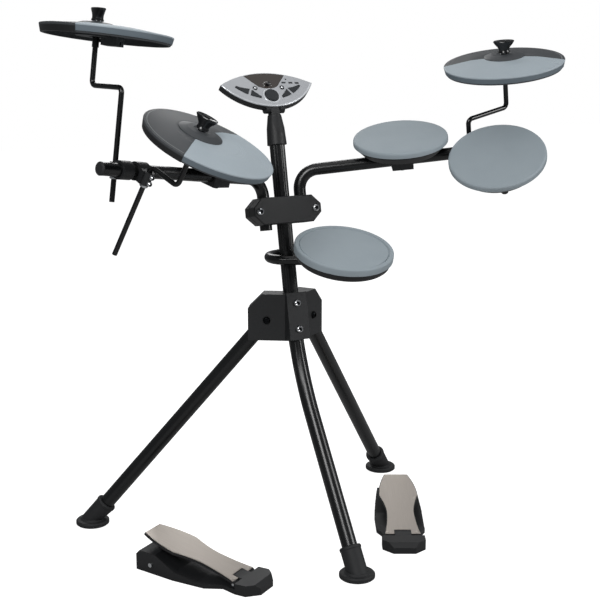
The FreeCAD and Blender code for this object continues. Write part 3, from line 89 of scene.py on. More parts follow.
# %% [markdown]
# Two small helpers serve every shader. One turns a hex colour, as a paint program shows
# it, into the linear light that Blender mixes. The other adds a node, sets it up and
# links it in one line, so a material reads from top to bottom.

# %% Shader helpers
def srgb(code):
    shares = [int(code[place:place + 2], 16) / 255 for place in (1, 3, 5)]
    # The standard curve: a straight foot, then a power.
    linear = [share / 12.92 if share <= 0.04045 else ((share + 0.055) / 1.055) ** 2.4
              for share in shares]
    return (*linear, 1.0)


def add(tree, kind, inputs, **settings):
    node = tree.nodes.new(kind)
    for name, value in settings.items():
        setattr(node, name, value)
    for name, value in inputs.items():
        if isinstance(value, bpy.types.NodeSocket):
            tree.links.new(value, node.inputs[name])
        else:
            node.inputs[name].default_value = value
    return node


def empty_tree(owner):
    owner.use_nodes = True
    owner.node_tree.nodes.clear()
    return owner.node_tree


scene.view_settings.view_transform = "Standard"
print("mid grey is", round(srgb("#808080")[0], 4), "in linear light")

# %% [markdown]
# The photograph is a cut-out on white under large soft lamps. A dim room lights the
# object from all round, so that black paint stays black. Only the camera sees the
# surroundings as pure white, which puts no more light on the object. A picture of a
# studio could do this too, but two plain colours need no file.

# %% World
world = bpy.data.worlds.new("studio")
scene.world = world
tree = empty_tree(world)
path = add(tree, "ShaderNodeLightPath", {})
room = add(tree, "ShaderNodeBackground", {"Color": srgb("#E8EBEE"), "Strength": 0.2})
white = add(tree, "ShaderNodeBackground", {"Color": srgb("#FFFFFF"), "Strength": 1.0})
shown = add(tree, "ShaderNodeMixShader", {0: path.outputs["Is Camera Ray"], 1: room.outputs[0],
                                          2: white.outputs[0]})
add(tree, "ShaderNodeOutputWorld", {"Surface": shown.outputs[0]})
print("world", world.name)

# %% [markdown]
# Four broad lamps stand where a product photographer puts soft boxes: a key on the
# drummer's left, a weaker fill on the right, one behind and a wide one overhead. Their
# size makes the long highlights that run down the black tubes, where small lamps would
# give short hard glints. The one overhead brightens the faces of the pads while their
# sides stay dark.

# %% Lamps
LAMP_AIM = Vector((0.0, 0.25, 0.6))
# Each lamp's place and size are in metres, and its power is in watts.
LAMPS = {"key_soft_box": ((-2.2, -1.8, 2.6), 1.6, 64),
         "fill_soft_box": ((2.4, -1.8, 1.8), 1.4, 40),
         "back_soft_box": ((0.68, 2.6, 2.2), 1.4, 22),
         "overhead_soft_box": ((0.0, 0.3, 3.4), 3.0, 15)}
for name, (place, size, power) in LAMPS.items():
    light = bpy.data.lights.new(name, "AREA")
    light.shape, light.size, light.energy = "DISK", size, power
    made = bpy.data.objects.new(name, light)
    made.location = place
    made.rotation_mode = "QUATERNION"
    made.rotation_quaternion = (LAMP_AIM - Vector(place)).to_track_quat("-Z", "Y")
    scene.collection.objects.link(made)
print(len(LAMPS), "lamps")

# %% [markdown]
# The floor is a sheet of pale paper.

# %% Floor
paper = bpy.data.materials.new("pale_paper_backdrop")
tree = empty_tree(paper)
path = add(tree, "ShaderNodeLightPath", {})
matte = add(tree, "ShaderNodeBsdfDiffuse", {"Color": srgb("#B4B4B4")})
glow = add(tree, "ShaderNodeEmission", {"Color": srgb("#FFFFFF"), "Strength": 0.97})
both = add(tree, "ShaderNodeAddShader", {0: matte.outputs[0], 1: glow.outputs[0]})
shown = add(tree, "ShaderNodeMixShader", {0: path.outputs["Is Camera Ray"], 1: matte.outputs[0],
                                          2: both.outputs[0]})
add(tree, "ShaderNodeOutputMaterial", {"Surface": shown.outputs[0]})
# The sheet lies 1 mm low, so that it shares no plane with the feet.
SHEET_HALF, SHEET_LEVEL = 9.0, -MM
sheet = bpy.data.meshes.new("floor")
sheet.from_pydata([(x * SHEET_HALF, y * SHEET_HALF, SHEET_LEVEL)
                   for x, y in ((-1, -1), (1, -1), (1, 1), (-1, 1))], [], [(0, 1, 2, 3)])
floor = bpy.data.objects.new("floor", sheet)
scene.collection.objects.link(floor)
sheet.materials.append(paper)
print("floor of", len(sheet.polygons), "sheet")

# %% [markdown]
# A surface is never one flat number. The mouldings, paints and rubbers of this kit share
# one recipe: two close colours mixed by slow noise, roughness that wanders with it, and
# a fine bump whose grain is a real size in millimetres. Only the numbers differ, so the
# recipe is one function, and each call below says what the material is. The numbers
# after the two colours are the roughness, its spread, and the grain's size and depth.

# %% Recipe for moulded and painted surfaces
def surface(name, colour, shade, roughness, spread, grain_mm, depth_mm, blotch_mm=60.0, ior=1.5,
            metallic=0.0):
    material = bpy.data.materials.new(name)
    tree = empty_tree(material)
    place = add(tree, "ShaderNodeTexCoord", {}).outputs["Object"]
    slow = add(tree, "ShaderNodeTexNoise",
               {"Vector": place, "Scale": 1 / (blotch_mm * MM), "Detail": 4.0})
    # Sockets 6 and 7 of a mix node take its two colours, and socket 2 gives the mixed one.
    tone = add(tree, "ShaderNodeMix", {0: slow.outputs["Fac"], 6: srgb(colour), 7: srgb(shade)},
               data_type="RGBA")
    rough = add(tree, "ShaderNodeMapRange", {
        "Value": slow.outputs["Fac"], "To Min": roughness - spread, "To Max": roughness + spread})
    grain = add(tree, "ShaderNodeTexNoise",
                {"Vector": place, "Scale": 1 / (grain_mm * MM), "Detail": 2.0})
    bump = add(tree, "ShaderNodeBump", {"Height": grain.outputs["Fac"], "Distance": depth_mm * MM,
                                        "Strength": 0.6})
    shader = add(tree, "ShaderNodeBsdfPrincipled", {
        "Base Color": tone.outputs[2], "Roughness": rough.outputs["Result"],
        "Normal": bump.outputs["Normal"], "IOR": ior, "Metallic": metallic})
    add(tree, "ShaderNodeOutputMaterial", {"Surface": shader.outputs[0]})
    return material


# Powder-coated steel tube: faint orange peel, so its highlights are long and a little soft.
tube_paint = surface("powder_coated_steel_tube", "#0C0D0E", "#111213", 0.27, 0.04, 1.6, 0.006)
# Bent rods are dipped in enamel, which flows smoother than powder and shines more.
rod_paint = surface("enamelled_steel_rod", "#0A0B0C", "#0F1011", 0.22, 0.03, 2.4, 0.004)
print(tube_paint.name, rod_paint.name)

# %% [markdown]
# The plastics are all moulded, and the mould decides the shine. Nylon with a spark-eroded
# texture is matte, ABS from a stoned mould has a soft sheen, and a polished mould gives
# the wing nuts their gloss.

# %% Moulded plastics
# Glass-filled nylon, spark-textured: matte, and a little grey where light grazes it.
nylon = surface("moulded_glass_filled_nylon", "#17181A", "#1D1E20", 0.5, 0.06, 0.9, 0.05, ior=1.53)
# Black ABS of the pad shells, the module's case and the pedals: a soft sheen.
shell_abs = surface("moulded_black_abs", "#101113", "#151618", 0.54, 0.05, 0.7, 0.03, ior=1.53)
# Charcoal ABS of the cymbal bodies, lighter than the stand.
cymbal_abs = surface("moulded_charcoal_abs", "#3B3E41", "#424548", 0.58, 0.05, 0.7, 0.04, ior=1.53)
# The same ABS, paler, for the raised line along the rim: its paler colour is a painted highlight.
highlight_line_abs = surface("charcoal_abs_painted_highlight", "#6A6D6F", "#737678", 0.5, 0.05, 0.5, 0.03, ior=1.53)
# Black ABS from a polished mould: the wing nuts shine.
nut_abs = surface("polished_black_abs", "#0D0E10", "#121315", 0.2, 0.04, 3.0, 0.01, ior=1.53)
# Silicone keypad buttons: soft and matte.
keypad = surface("moulded_silicone_keypad", "#2A2D30", "#323538", 0.54, 0.05, 0.6, 0.03, ior=1.41)
# Smoked acrylic sheet: brown-black and glossy.
window_acrylic = surface("smoked_acrylic_sheet", "#332D2A", "#3A332F", 0.16, 0.03, 4.0, 0.004,
                         ior=1.49)
print("seven plastics")

# %% [markdown]
# Paint, print and plating come on top of plastic or steel. The panel's silver paint holds fine
# metal flake, so it is about a third of the way to a metal. Its lip is painted a lighter silver
# than the face, as a painted highlight. The prints are flat inks.

# %% Paints, inks and plating
# Silver paint with fine metal flake on ABS: a soft satin.
panel_paint = surface("silver_flake_painted_abs", "#C4C6CA", "#B8BBBF", 0.4, 0.05, 0.4, 0.015,
                      metallic=0.35)
# The same paint, smoother and lighter on the lip and the dial's ring: the lighter colour is a
# painted highlight.
highlight_lip_paint = surface("silver_paint_painted_highlight", "#E4E7EA", "#D8DBDF", 0.26, 0.04, 0.6, 0.01,
                    metallic=0.35)
# Screen-printed inks: flat and faintly uneven.
white_ink = surface("screen_printed_white_ink", "#D5D6D4", "#C9CAC8", 0.7, 0.05, 0.3, 0.01)
dark_ink = surface("screen_printed_dark_ink", "#2C2D2F", "#35363A", 0.66, 0.05, 0.3, 0.01)
# Chrome plate on steel bolts: bright, with a slight polishing haze.
chrome = surface("chrome_plated_steel", "#D6D8DA", "#C8CACD", 0.13, 0.04, 2.0, 0.006,
                 blotch_mm=8.0, metallic=1.0)
# Black oxide on steel: a dark dry sheen.
black_oxide = surface("black_oxide_steel", "#17181A", "#202224", 0.42, 0.06, 0.8, 0.02,
                      metallic=1.0)
print("six finishes")

# %% [markdown]
# Rubber scatters light at its skin, so it has almost no highlight. The drum heads and the cymbal
# zones are two grey compounds. The strips round the cymbal rims are grey rubber painted darker, as
# painted shade, and the feet are black with a dry bloom.

# %% Rubbers
# Grey natural rubber, pressed in a sand-blasted mould: dead matte with a fine grain.
head_rubber = surface("pressed_grey_rubber", "#9CA7AD", "#949FA6", 0.68, 0.05, 0.8, 0.04,
                      blotch_mm=45.0, ior=1.52)
# The cymbal compound is paler.
zone_rubber = surface("pressed_pale_grey_rubber", "#AAB5BC", "#A3AEB5", 0.66, 0.05, 0.8, 0.03,
                      blotch_mm=45.0, ior=1.52)
# The strip that wraps each rim is grey rubber, a little glossier from handling, and its darker
# colour is painted shade.
rim_shade_rubber = surface("rim_rubber_painted_shade", "#6E7981", "#67727A", 0.56, 0.05, 0.8, 0.03,
                      blotch_mm=45.0, ior=1.52)
# Black rubber of the feet, caps, return domes and neck shield: dusty bloom in slow patches.
foot_rubber = surface("moulded_black_rubber", "#141517", "#1E1F21", 0.66, 0.06, 1.2, 0.04,
                      blotch_mm=20.0, ior=1.52)
print(len(bpy.data.materials), "materials so far")

# %% [markdown]
# Stainless tread plates are brushed along their length. Brushing leaves thin scratches
# that smear each highlight across the grain. An anisotropic shader could smear it too,
# but stretched noise also shows the scratches themselves. They are drawn 0.6 mm wide,
# which is coarser than real ones so that they show.

# %% Brushed stainless steel
SCRATCH_WIDE, SCRATCH_LONG = 0.6, 40


def pedal_frame(name):
    across = -axis(name + "_pedal_press")
    made = Matrix((across, Z.cross(across), Z)).transposed().to_4x4()
    made.translation = spot(name + "_pedal_press")
    return made


def brushed_steel(name, turn):
    material = bpy.data.materials.new(name)
    tree = empty_tree(material)
    place = add(tree, "ShaderNodeTexCoord", {}).outputs["Object"]
    along = add(tree, "ShaderNodeMapping", {"Vector": place, "Rotation": (0, 0, -turn)})
    fine, slow = 1 / (SCRATCH_WIDE * MM), 1 / (SCRATCH_LONG * MM)
    thin = add(tree, "ShaderNodeMapping",
               {"Vector": along.outputs[0], "Scale": (fine, slow, slow)})
    lines = add(tree, "ShaderNodeTexNoise",
                {"Vector": thin.outputs[0], "Scale": 1.0, "Detail": 3.0}).outputs["Fac"]
    tone = add(tree, "ShaderNodeMix", {0: lines, 6: srgb("#D2CAC2"), 7: srgb("#BDB5AD")},
               data_type="RGBA")
    rough = add(tree, "ShaderNodeMapRange", {"Value": lines, "To Min": 0.36, "To Max": 0.5})
    bump = add(tree, "ShaderNodeBump", {"Height": lines, "Distance": 0.02 * MM, "Strength": 0.4})
    shader = add(tree, "ShaderNodeBsdfPrincipled", {
        "Base Color": tone.outputs[2], "Roughness": rough.outputs["Result"],
        "Normal": bump.outputs["Normal"], "Metallic": 1.0})
    add(tree, "ShaderNodeOutputMaterial", {"Surface": shader.outputs[0]})
    return material


# Brushed stainless sheet: warm grey, brighter along the brushing.
tread_steel = {}
for name in PEDALS:
    across = pedal_frame(name).col[0]
    turn = math.atan2(across.y, across.x)
    tread_steel[name] = brushed_steel(f"brushed_stainless_sheet_{name}", turn)
print("brushed steel for", ", ".join(tread_steel))

# %% [markdown]
# CAD edges are perfectly sharp, and real ones never are: a moulded or cut edge carries a
# small radius that catches a line of light. A bevel modifier adds that radius to each
# kept node and leaves its own mesh alone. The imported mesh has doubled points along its
# edges, so a weld comes first, and weighted normals last keep flat faces flat.

# %% Finish for kept CAD nodes
def soften(name, width_mm, material):
    made = nodes[name]
    made.data.materials.clear()
    made.data.materials.append(material)
    made.modifiers.new("joined_points", "WELD").merge_threshold = 1e-5
    bevel = made.modifiers.new("edge_radius", "BEVEL")
    bevel.width, bevel.segments = width_mm * MM, 2
    bevel.limit_method, bevel.angle_limit = "ANGLE", math.radians(40)
    bevel.use_clamp_overlap = True
    made.modifiers.new("flat_faces", "WEIGHTED_NORMAL").keep_sharp = True


# Each kept node has the radius of its edges, in millimetres, and its material.
kept = {"module_neck": (0.8, shell_abs), "module_case": (1.0, shell_abs),
        "module_panel": (0.5, panel_paint), "module_window": (0.2, window_acrylic),
        "pedal_hardware": (0.4, chrome), "hub_bracket": (3.0, nylon),
        "rack_clamp_front": (0.8, nylon), "rack_clamp_back": (0.8, nylon)}
for name in ("mast_tube", "left_leg", "right_leg", "left_arm", "right_arm", "snare_arm"):
    kept[name] = (0.4, tube_paint)
for name in CYMBALS:
    kept.update({name + "_rod_clamp": (0.7, nylon), name + "_rod": (0.3, rod_paint),
                 name + "_cymbal": (0.5, cymbal_abs)})
for name in PADS:
    kept.update({name + "_base": (0.6, shell_abs), name + "_clamp": (1.0, nylon)})
for name in PEDALS:
    kept.update({name + "_pedal_base": (1.6, shell_abs), name + "_footboard": (0.6, shell_abs),
                 name + "_tread": (0.3, tread_steel[name])})
for side in SIDES:
    kept.update({f"{side}_{kind}_button": (0.5, keypad) for kind in ("outer", "inner", "round")})
for name, (width, material) in kept.items():
    soften(name, width, material)
print(len(kept), "CAD nodes kept")

# %% [markdown]
# Round pieces are turned, as on a lathe: a profile of (radius, height) points in
# millimetres is swept round an axis. One helper rounds the profile's corners, as a mould
# maker would. Another makes the mesh, all the way round or through a sector. A screw
# modifier could sweep it too, but here each radius can change with the angle, which
# flutes, stretches or shifts the piece.

# %% Turning helpers
def rounded(points, radii, steps=5):
    made = []
    for here, point in enumerate(points):
        corner = Vector(point)
        if here not in radii:
            made.append(corner)
            continue
        before = (Vector(points[here - 1]) - corner).normalized()
        after = (Vector(points[(here + 1) % len(points)]) - corner).normalized()
        reach = radii[here] / math.tan(before.angle(after) / 2)
        start, end = corner + before * reach, corner + after * reach
        for step in range(steps + 1):
            share = step / steps
            rest = 1 - share
            made.append(start * rest ** 2 + corner * (2 * share * rest) + end * share ** 2)
    return made


def upright(origin, up, towards):
    z = Vector(up).normalized()
    x = (Vector(towards) - z * Vector(towards).dot(z)).normalized()
    made = Matrix((x, z.cross(x), z)).transposed().to_4x4()
    made.translation = origin
    return made


def turn_into(work, profile, place=Matrix(), start=0.0, span=360.0, steps=120, reshape=None):
    full = span >= 360.0
    rings = []
    for step in range(steps if full else steps + 1):
        angle = math.radians(start + span * step / steps)
        ring = []
        for radius, height in profile:
            reach = reshape(radius, height, angle) if reshape else radius
            local = Vector((reach * math.cos(angle), reach * math.sin(angle), height)) * MM
            ring.append(work.verts.new(place @ local))
        rings.append(ring)
    for step in range(steps):
        first, second = rings[step], rings[(step + 1) % len(rings)]
        for here in range(len(profile)):
            there = (here + 1) % len(profile)
            work.faces.new((first[here], second[here], second[there], first[there]))
    if not full:
        work.faces.new(rings[0])
        work.faces.new(list(reversed(rings[-1])))


print("a rounded corner has", len(rounded([(0, 0), (1, 0), (1, 1)], {1: 0.2})) - 2, "points")

# %% [markdown]
# Flat pieces are an outline that is thickened and rounded along its rim. The next helper closes
# any piece: it cleans the mesh, moves it into place, gives it a material and lets it ride on a
# body. The last one does all of that for a piece that is turned from one profile.

# %% Plate and finish helpers
# Faces that meet at more than this many degrees keep a crisp edge. Bolts keep more of
# them, the grooves of the cymbals the most, and beads of trim the fewest.
CREASE, BOLT_CREASE, GROOVE_CREASE, BEAD_CREASE = 38.0, 30.0, 20.0, 60.0


def flat_into(work, outline, half_thick, round_mm, place=Matrix()):
    plate = bmesh.new()
    corners = [plate.verts.new(Vector((x, -half_thick, z)) * MM) for x, z in outline]
    grown = bmesh.ops.extrude_face_region(plate, geom=[plate.faces.new(corners)])["geom"]
    for vertex in (part for part in grown if isinstance(part, bmesh.types.BMVert)):
        vertex.co.y += 2 * half_thick * MM
    bmesh.ops.recalc_face_normals(plate, faces=plate.faces)
    rims = [edge for edge in plate.edges if edge.calc_face_angle() > math.radians(60)]
    bmesh.ops.bevel(plate, geom=rims, offset=round_mm * MM, segments=2, affect="EDGES",
                    clamp_overlap=True)
    bmesh.ops.transform(plate, matrix=place, verts=plate.verts)
    holder = bpy.data.meshes.new("plate")
    plate.to_mesh(holder)
    plate.free()
    work.from_mesh(holder)
    bpy.data.meshes.remove(holder)


def finished(name, work, place, material, body, slot, crease=CREASE):
    bmesh.ops.remove_doubles(work, verts=work.verts, dist=1e-6)
    bmesh.ops.dissolve_degenerate(work, edges=work.edges, dist=1e-7)
    bmesh.ops.recalc_face_normals(work, faces=work.faces)
    mesh = bpy.data.meshes.new(name)
    work.to_mesh(mesh)
    work.free()
    mesh.transform(place)
    mesh.materials.append(material)
    mesh.shade_smooth()
    mesh.set_sharp_from_angle(angle=math.radians(crease))
    made = bpy.data.objects.new(name, mesh)
    scene.collection.objects.link(made)
    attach(made, body)
    return made


def turned(name, profile, place, material, body, slot, crease=CREASE, **sweep):
    work = bmesh.new()
    turn_into(work, profile, **sweep)
    return finished(name, work, place, material, body, slot, crease)


print("helpers:", flat_into.__name__, finished.__name__, turned.__name__)

# %% [markdown]
# Each drum head is one pressing of grey rubber. A plain disc would lack its shoulder, so
# it is turned. The toms are smooth, with a wide rounded shoulder. The snare has a raised
# ring and a groove inside it, and its rubber reaches further down, over a full black
# skirt. The plane is read from the CAD node: its largest face lies in it.

# %% Drum heads
EDGE, UNDER = 98.5, -12.0
TOM = rounded([(0.0, 0.0), (EDGE, 0.0), (EDGE, UNDER), (0.0, UNDER)], {1: 5.5, 2: 1.0}, steps=8)
# The snare's middle is sunk inside the ring, and a lip hangs down at its edge.
SUNK, LIP_LOW, LIP_IN = -1.8, -14.4, EDGE - 2.6
SNARE = rounded([(0.0, SUNK), (EDGE - 11.5, SUNK), (EDGE - 10.2, -3.8), (EDGE - 8.0, -0.2),
                 (EDGE, 0.0), (EDGE, LIP_LOW), (LIP_IN, LIP_LOW), (LIP_IN, UNDER), (0.0, UNDER)],
                {1: 0.6, 2: 0.4, 3: 1.4, 4: 3.6, 5: 0.8})
SKIRT_LOW = -29.8
SKIRT = rounded([(EDGE - 5.0, -12.4), (EDGE - 3.4, -13.4), (EDGE - 5.4, -26.0),
                 (EDGE - 9.0, SKIRT_LOW), (EDGE - 19.0, SKIRT_LOW)], {1: 0.4, 2: 1.5, 3: 2.0})


def head_frame(name):
    mesh = nodes[name + "_rubber"].data
    up = max(mesh.polygons, key=lambda face: face.area).normal.copy()
    level = upright(Vector(), up if up.z > 0 else -up, X)
    points = np.array([level.inverted() @ vertex.co for vertex in mesh.vertices])
    middle = (points.min(0) + points.max(0)) / 2
    level.translation = level @ Vector((middle[0], middle[1], points[:, 2].max()))
    return level


head_frames = {name: head_frame(name) for name in PADS}
for name in PADS:
    head = turned(name + "_head", SNARE if name == "snare" else TOM, head_frames[name],
                  head_rubber, name + "_pad", "pad_rubber", steps=160)
    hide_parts(name + "_rubber")
turned("snare_skirt", SKIRT, head_frames["snare"], shell_abs, "snare_pad", "pad_shell", steps=160)
print(len(PADS), "drum heads and a skirt")

# %% [markdown]
# The playing part of each cymbal is pale rubber, with a strip round the rim painted darker, as
# painted shade. The rod holds the disc 22 mm off its middle, so the profile is swept round the
# rod's axis while each radius is measured from the disc's middle. Fine rings are pressed into the
# rubber, 5 mm apart. They are cut into the mesh, so they also show at a grazing angle.

# %% Profile of a cymbal zone
# Radii of the bell, the level middle and the rim, and the rod's distance from the middle.
BELL, FLAT, RIM, OFF = 42.0, 68.0, 125.0, 22.0
FACE_TOP, FACE_FALL = 3.0, 7.0
RINGS, FIRST_RING, RING_STEP = 13, 55.0, 5.0
GROOVE_SIDE, GROOVE_DEEP = 0.4, 0.3
ZONE_FOOT, ZONE_UNDER = -6.8, 1.0


def face(radius):
    return FACE_TOP - FACE_FALL * max(0.0, radius - FLAT) / (RIM - FLAT)


def off_centre(radius, height, angle):
    if radius <= BELL:
        return radius
    return OFF * math.cos(angle) + math.sqrt(radius ** 2 - (OFF * math.sin(angle)) ** 2)


ZONE = [(BELL, face(BELL))]
for ring in range(RINGS):
    radius = FIRST_RING + ring * RING_STEP
    bottom, end = face(radius) - GROOVE_DEEP, radius + 3 * GROOVE_SIDE
    ZONE += [(radius, face(radius)), (radius + GROOVE_SIDE, bottom),
             (radius + 2 * GROOVE_SIDE, bottom), (end, face(end))]
edge = [ZONE.pop(), (RIM - 0.2, -4.0), (RIM - 0.8, ZONE_FOOT), (RIM - 1.8, ZONE_FOOT)]
ZONE += rounded(edge, {1: 2.0, 2: 0.3})
ZONE += [(RIM - 2.0, -6.0), (FLAT, ZONE_UNDER), (BELL, ZONE_UNDER)]
print(RINGS, "rings in a profile of", len(ZONE), "points")

# %% [markdown]
# The rubber covers the part of the face that the drummer hits, 77 degrees to each side.
# A raised pale line follows the rim of the plastic part, and its paler ABS is a painted highlight.
# A black lower shell closes round its wall, and its black is painted shade under the rim. All four
# are sectors of the same off-centre sweep, with a small gap at the seam, so that none of them
# shares a face with its neighbour.

# %% Cymbal zones, strips, lines and shells
SEAM = 77.0
STRIP_LOW, SHELL_LOW = -17.0, -20.0
STRIP = rounded([(RIM - 0.8, -6.6), (RIM - 3.3, STRIP_LOW), (RIM - 5.2, STRIP_LOW),
                 (RIM - 2.4, -6.6)], {0: 0.2, 1: 0.9, 2: 0.4})
# The lower shell is black as painted shade under the cymbal's rim.
SHELL = rounded([(RIM - 1.4, -8.4), (RIM - 1.05, -8.6), (RIM - 3.9, SHELL_LOW),
                 (RIM - 4.6, SHELL_LOW)], {1: 0.15, 2: 0.3})
# The line's radii, and how far each point stands above the face.
LINE = [(radius, face(radius) + lift) for radius, lift in
        ((117.2, -0.3), (117.6, 0.25), (118.4, 0.4), (119.2, 0.25), (119.6, -0.3))]


def sector(start, end, gap, steps):
    return {"start": start + gap, "span": end - start - 2 * gap, "steps": steps,
            "reshape": off_centre}


def cymbal_frame(name):
    up = axis(name + "_nut_turn")
    return upright(spot(name + "_nut_turn"), up, axis(name + "_rock").cross(up))


cymbal_frames = {name: cymbal_frame(name) for name in CYMBALS}
hit = sector(-SEAM, SEAM, 0.2, 90)
line_sector = sector(SEAM, 360.0 - SEAM, 0.6, 120)
closed = sector(SEAM, 360.0 - SEAM, 0.3, 120)
for name in CYMBALS:
    place, body = cymbal_frames[name], name + "_cymbal"
    zone = turned(name + "_zone", ZONE, place, zone_rubber, body, "cymbal_rubber", GROOVE_CREASE,
                  **hit)
    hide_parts(name + "_rubber")
    # The rim strip's darker grey is painted shade on the rim's lower face.
    turned(name + "_rim_strip", STRIP, place, rim_shade_rubber, body, "cymbal_rubber", **hit)
    # The rim line is drawn in paler ABS as a painted highlight along the rim.
    turned(name + "_rim_line", LINE, place, highlight_line_abs, body, "cymbal_plastic", BEAD_CREASE,
           **line_sector)
    # The black lower shell is painted shade under the rim.
    turned(name + "_lower_shell_shade", SHELL, place, shell_abs, body, "cymbal_plastic", **closed)
print(len(CYMBALS), "zones, strips, lines and shells")

# %% [markdown]
# The bell is a low dome that rises to the hole for the rod. It could be carved out of the
# CAD body, but a turned ring that lies over the body's cone keeps both meshes clean. The
# hole clears the ball that the cymbal rocks on. Below the hat's plastic part hangs the
# rounded cap of its sensor box.

# %% Cymbal bells
# The bell stops just short of the rubber. Its foot is hidden in the CAD body.
BELL_SIDE, BELL_FOOT, ROD_HOLE = BELL - 0.05, 2.0, 12.6
DOME = rounded([(BELL_SIDE, BELL_FOOT), (BELL_SIDE, 4.2), (36.0, 6.4), (27.0, 9.2), (16.0, 9.9),
                (ROD_HOLE, 9.4), (ROD_HOLE, BELL_FOOT)],
               {1: 0.4, 2: 3.0, 3: 3.0, 4: 1.0, 5: 0.3})
for name in CYMBALS:
    turned(name + "_bell", DOME, cymbal_frames[name], cymbal_abs, name + "_cymbal",
           "cymbal_plastic", steps=96)
SENSOR = Matrix.Translation(Vector((-8.0, -84.0, 0.0)) * MM)
SENSOR_CAP = rounded([(0.0, -2.0), (10.5, -2.0), (10.0, -22.0), (7.0, -27.0), (0.0, -28.0)],
                     {2: 3.0, 3: 2.0})
turned("hat_sensor_cap", SENSOR_CAP, cymbal_frames["hat"] @ SENSOR, cymbal_abs, "hat_cymbal",
       "cymbal_plastic", steps=48)
print(len(CYMBALS), "bells and a sensor cap")

# %% [markdown]
# A wing nut flares from a round waist to an oval top that two fingers can turn. It could
# be sculpted from a block, but the turning helper does it all: the higher the point, the
# more its radius is stretched along one direction. The rod's tip shows in the open bore,
# and a chrome washer lies under the foot. Each nut was left where it came to rest, so
# their wings point apart.

# %% Wing nuts
BORE, NUT_FOOT = 5.2, 12.3
# The wings begin at this height, take this much more to open, and widen by this share.
WING_FOOT, WING_TALL, WING_SHARE = 17.0, 17.0, 0.9


def winged(radius, height, angle):
    if radius <= BORE:
        return radius
    share = min(1.0, max(0.0, (height - WING_FOOT) / WING_TALL))
    wide = radius * (1 + WING_SHARE * share * share * (3 - 2 * share))
    return radius * wide / math.hypot(radius * math.cos(angle), wide * math.sin(angle))


NUT = rounded([(BORE, NUT_FOOT), (11.6, NUT_FOOT), (12.2, 13.6), (10.6, WING_FOOT), (10.4, 22.0),
               (10.8, 29.0), (11.6, 34.6), (11.0, 36.2), (7.4, 35.2), (BORE, 34.0)],
              {1: 0.4, 2: 0.6, 3: 1.6, 6: 0.5, 7: 0.6, 8: 0.6})
WASHER = rounded([(5.3, 11.1), (9.8, 11.1), (9.8, 12.2), (5.3, 12.2)], {1: 0.3, 2: 0.3})
NUT_TURN = {"crash": -35.0, "hat": 0.0, "ride": 90.0}
for name in CYMBALS:
    place = cymbal_frames[name] @ Matrix.Rotation(math.radians(NUT_TURN[name]), 4, "Z")
    nut = turned(name + "_wings", NUT, place, nut_abs, name + "_wing_nut", "nut_plastic",
                 steps=96, reshape=winged)
    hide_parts(name + "_wing_nut")
    turned(name + "_nut_washer", WASHER, place, chrome, name + "_wing_nut", "chrome", steps=64)
print(len(CYMBALS), "wing nuts")

# %% [markdown]
# The stand's bolts have low domed heads with a wide hexagon socket. A boolean cut could sink the
# socket, but the same turning pass does it with a cleaner mesh: inside the socket's edge, each
# radius is pushed out to a hexagon. Those in front are chromed, with a black cup in each socket as
# painted shade, and the legs' pivots are blackened.

# %% Bolts of the stand
def bolt_into(work, place, head, tall, shank, length):
    socket, bottom = head * 0.54, tall - 2.4

    def hexagon(radius, height, angle):
        if 0.0 < radius <= socket and height > 0.0:
            return socket * 0.9 / math.cos(angle % (math.pi / 3) - math.pi / 6)
        return radius

    profile = [(0.0, bottom), (socket, bottom), (socket, tall - 0.3), (socket + 0.7, tall),
               (head * 0.78, tall * 0.86), (head * 0.94, tall * 0.5), (head, tall * 0.16),
               (head, 0.0), (shank, 0.0), (shank, -length), (0.0, -length)]
    turn_into(work, profile, place, steps=48, reshape=hexagon)


# The hub's distance below the rack, and the bolts' places beside the mast and along the hub.
HUB_DROP, BESIDE, ALONG_HUB = 220.0, 64.0, 27.0
# How far the seats lie in front of the mast's axis, behind it and out from the leg's pivot.
FRONT_SEAT, BACK_SEAT, HUB_SEAT, PIVOT_SEAT = 24.5, 22.5, 25.0, 19.7
# The radius and height of a head, and the radius of the shank.
STAND_BOLT = (8.0, 5.0, 4.0)
# A black cup inside each chromed socket: painted shade in the recess.
SOCKET_SHADE_CUP = [(0.0, 2.9), (1.2, 3.1), (3.4, 3.3), (3.7, 3.0), (3.7, 2.4), (0.0, 2.4)]
mast_up = axis("left_arm_swing")
mast_front = X.cross(mast_up)
rack = (spot("left_arm_swing") + spot("right_arm_swing")) / 2
hub = rack - mast_up * HUB_DROP * MM
seats = []
bright, dark, socket_shades = bmesh.new(), bmesh.new(), bmesh.new()
for sign in (-1, 1):
    beside = rack + X * sign * BESIDE * MM
    on_hub = hub + mast_up * sign * ALONG_HUB * MM
    seats += [(beside + mast_front * FRONT_SEAT * MM, mast_front, 40.0),
              (beside - mast_front * BACK_SEAT * MM, -mast_front, 4.0),
              (on_hub + mast_front * HUB_SEAT * MM, mast_front, 5.0)]
for place, out, length in seats:
    bolt_into(bright, upright(place, out, X), *STAND_BOLT, length)
    turn_into(socket_shades, SOCKET_SHADE_CUP, upright(place, out, X), steps=36)
for side in SIDES:
    for sign in (-1, 1):
        out = axis(side + "_leg_fold") * sign
        place = upright(spot(side + "_leg_fold") + out * PIVOT_SEAT * MM, out, Z)
        bolt_into(dark, place, *STAND_BOLT, PIVOT_SEAT)
bolts = finished("stand_bolt_set", bright, Matrix(), chrome, "stand", "chrome", BOLT_CREASE)
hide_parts("stand_bolts")
# The socket cups are black as painted shade in the recesses.
finished("stand_bolt_socket_shade", socket_shades, Matrix(), black_oxide, "stand", "chrome")
finished("leg_pivot_bolts", dark, Matrix(), black_oxide, "stand", "chrome", BOLT_CREASE)
print("bolt set with", len(bolts.data.polygons), "faces")

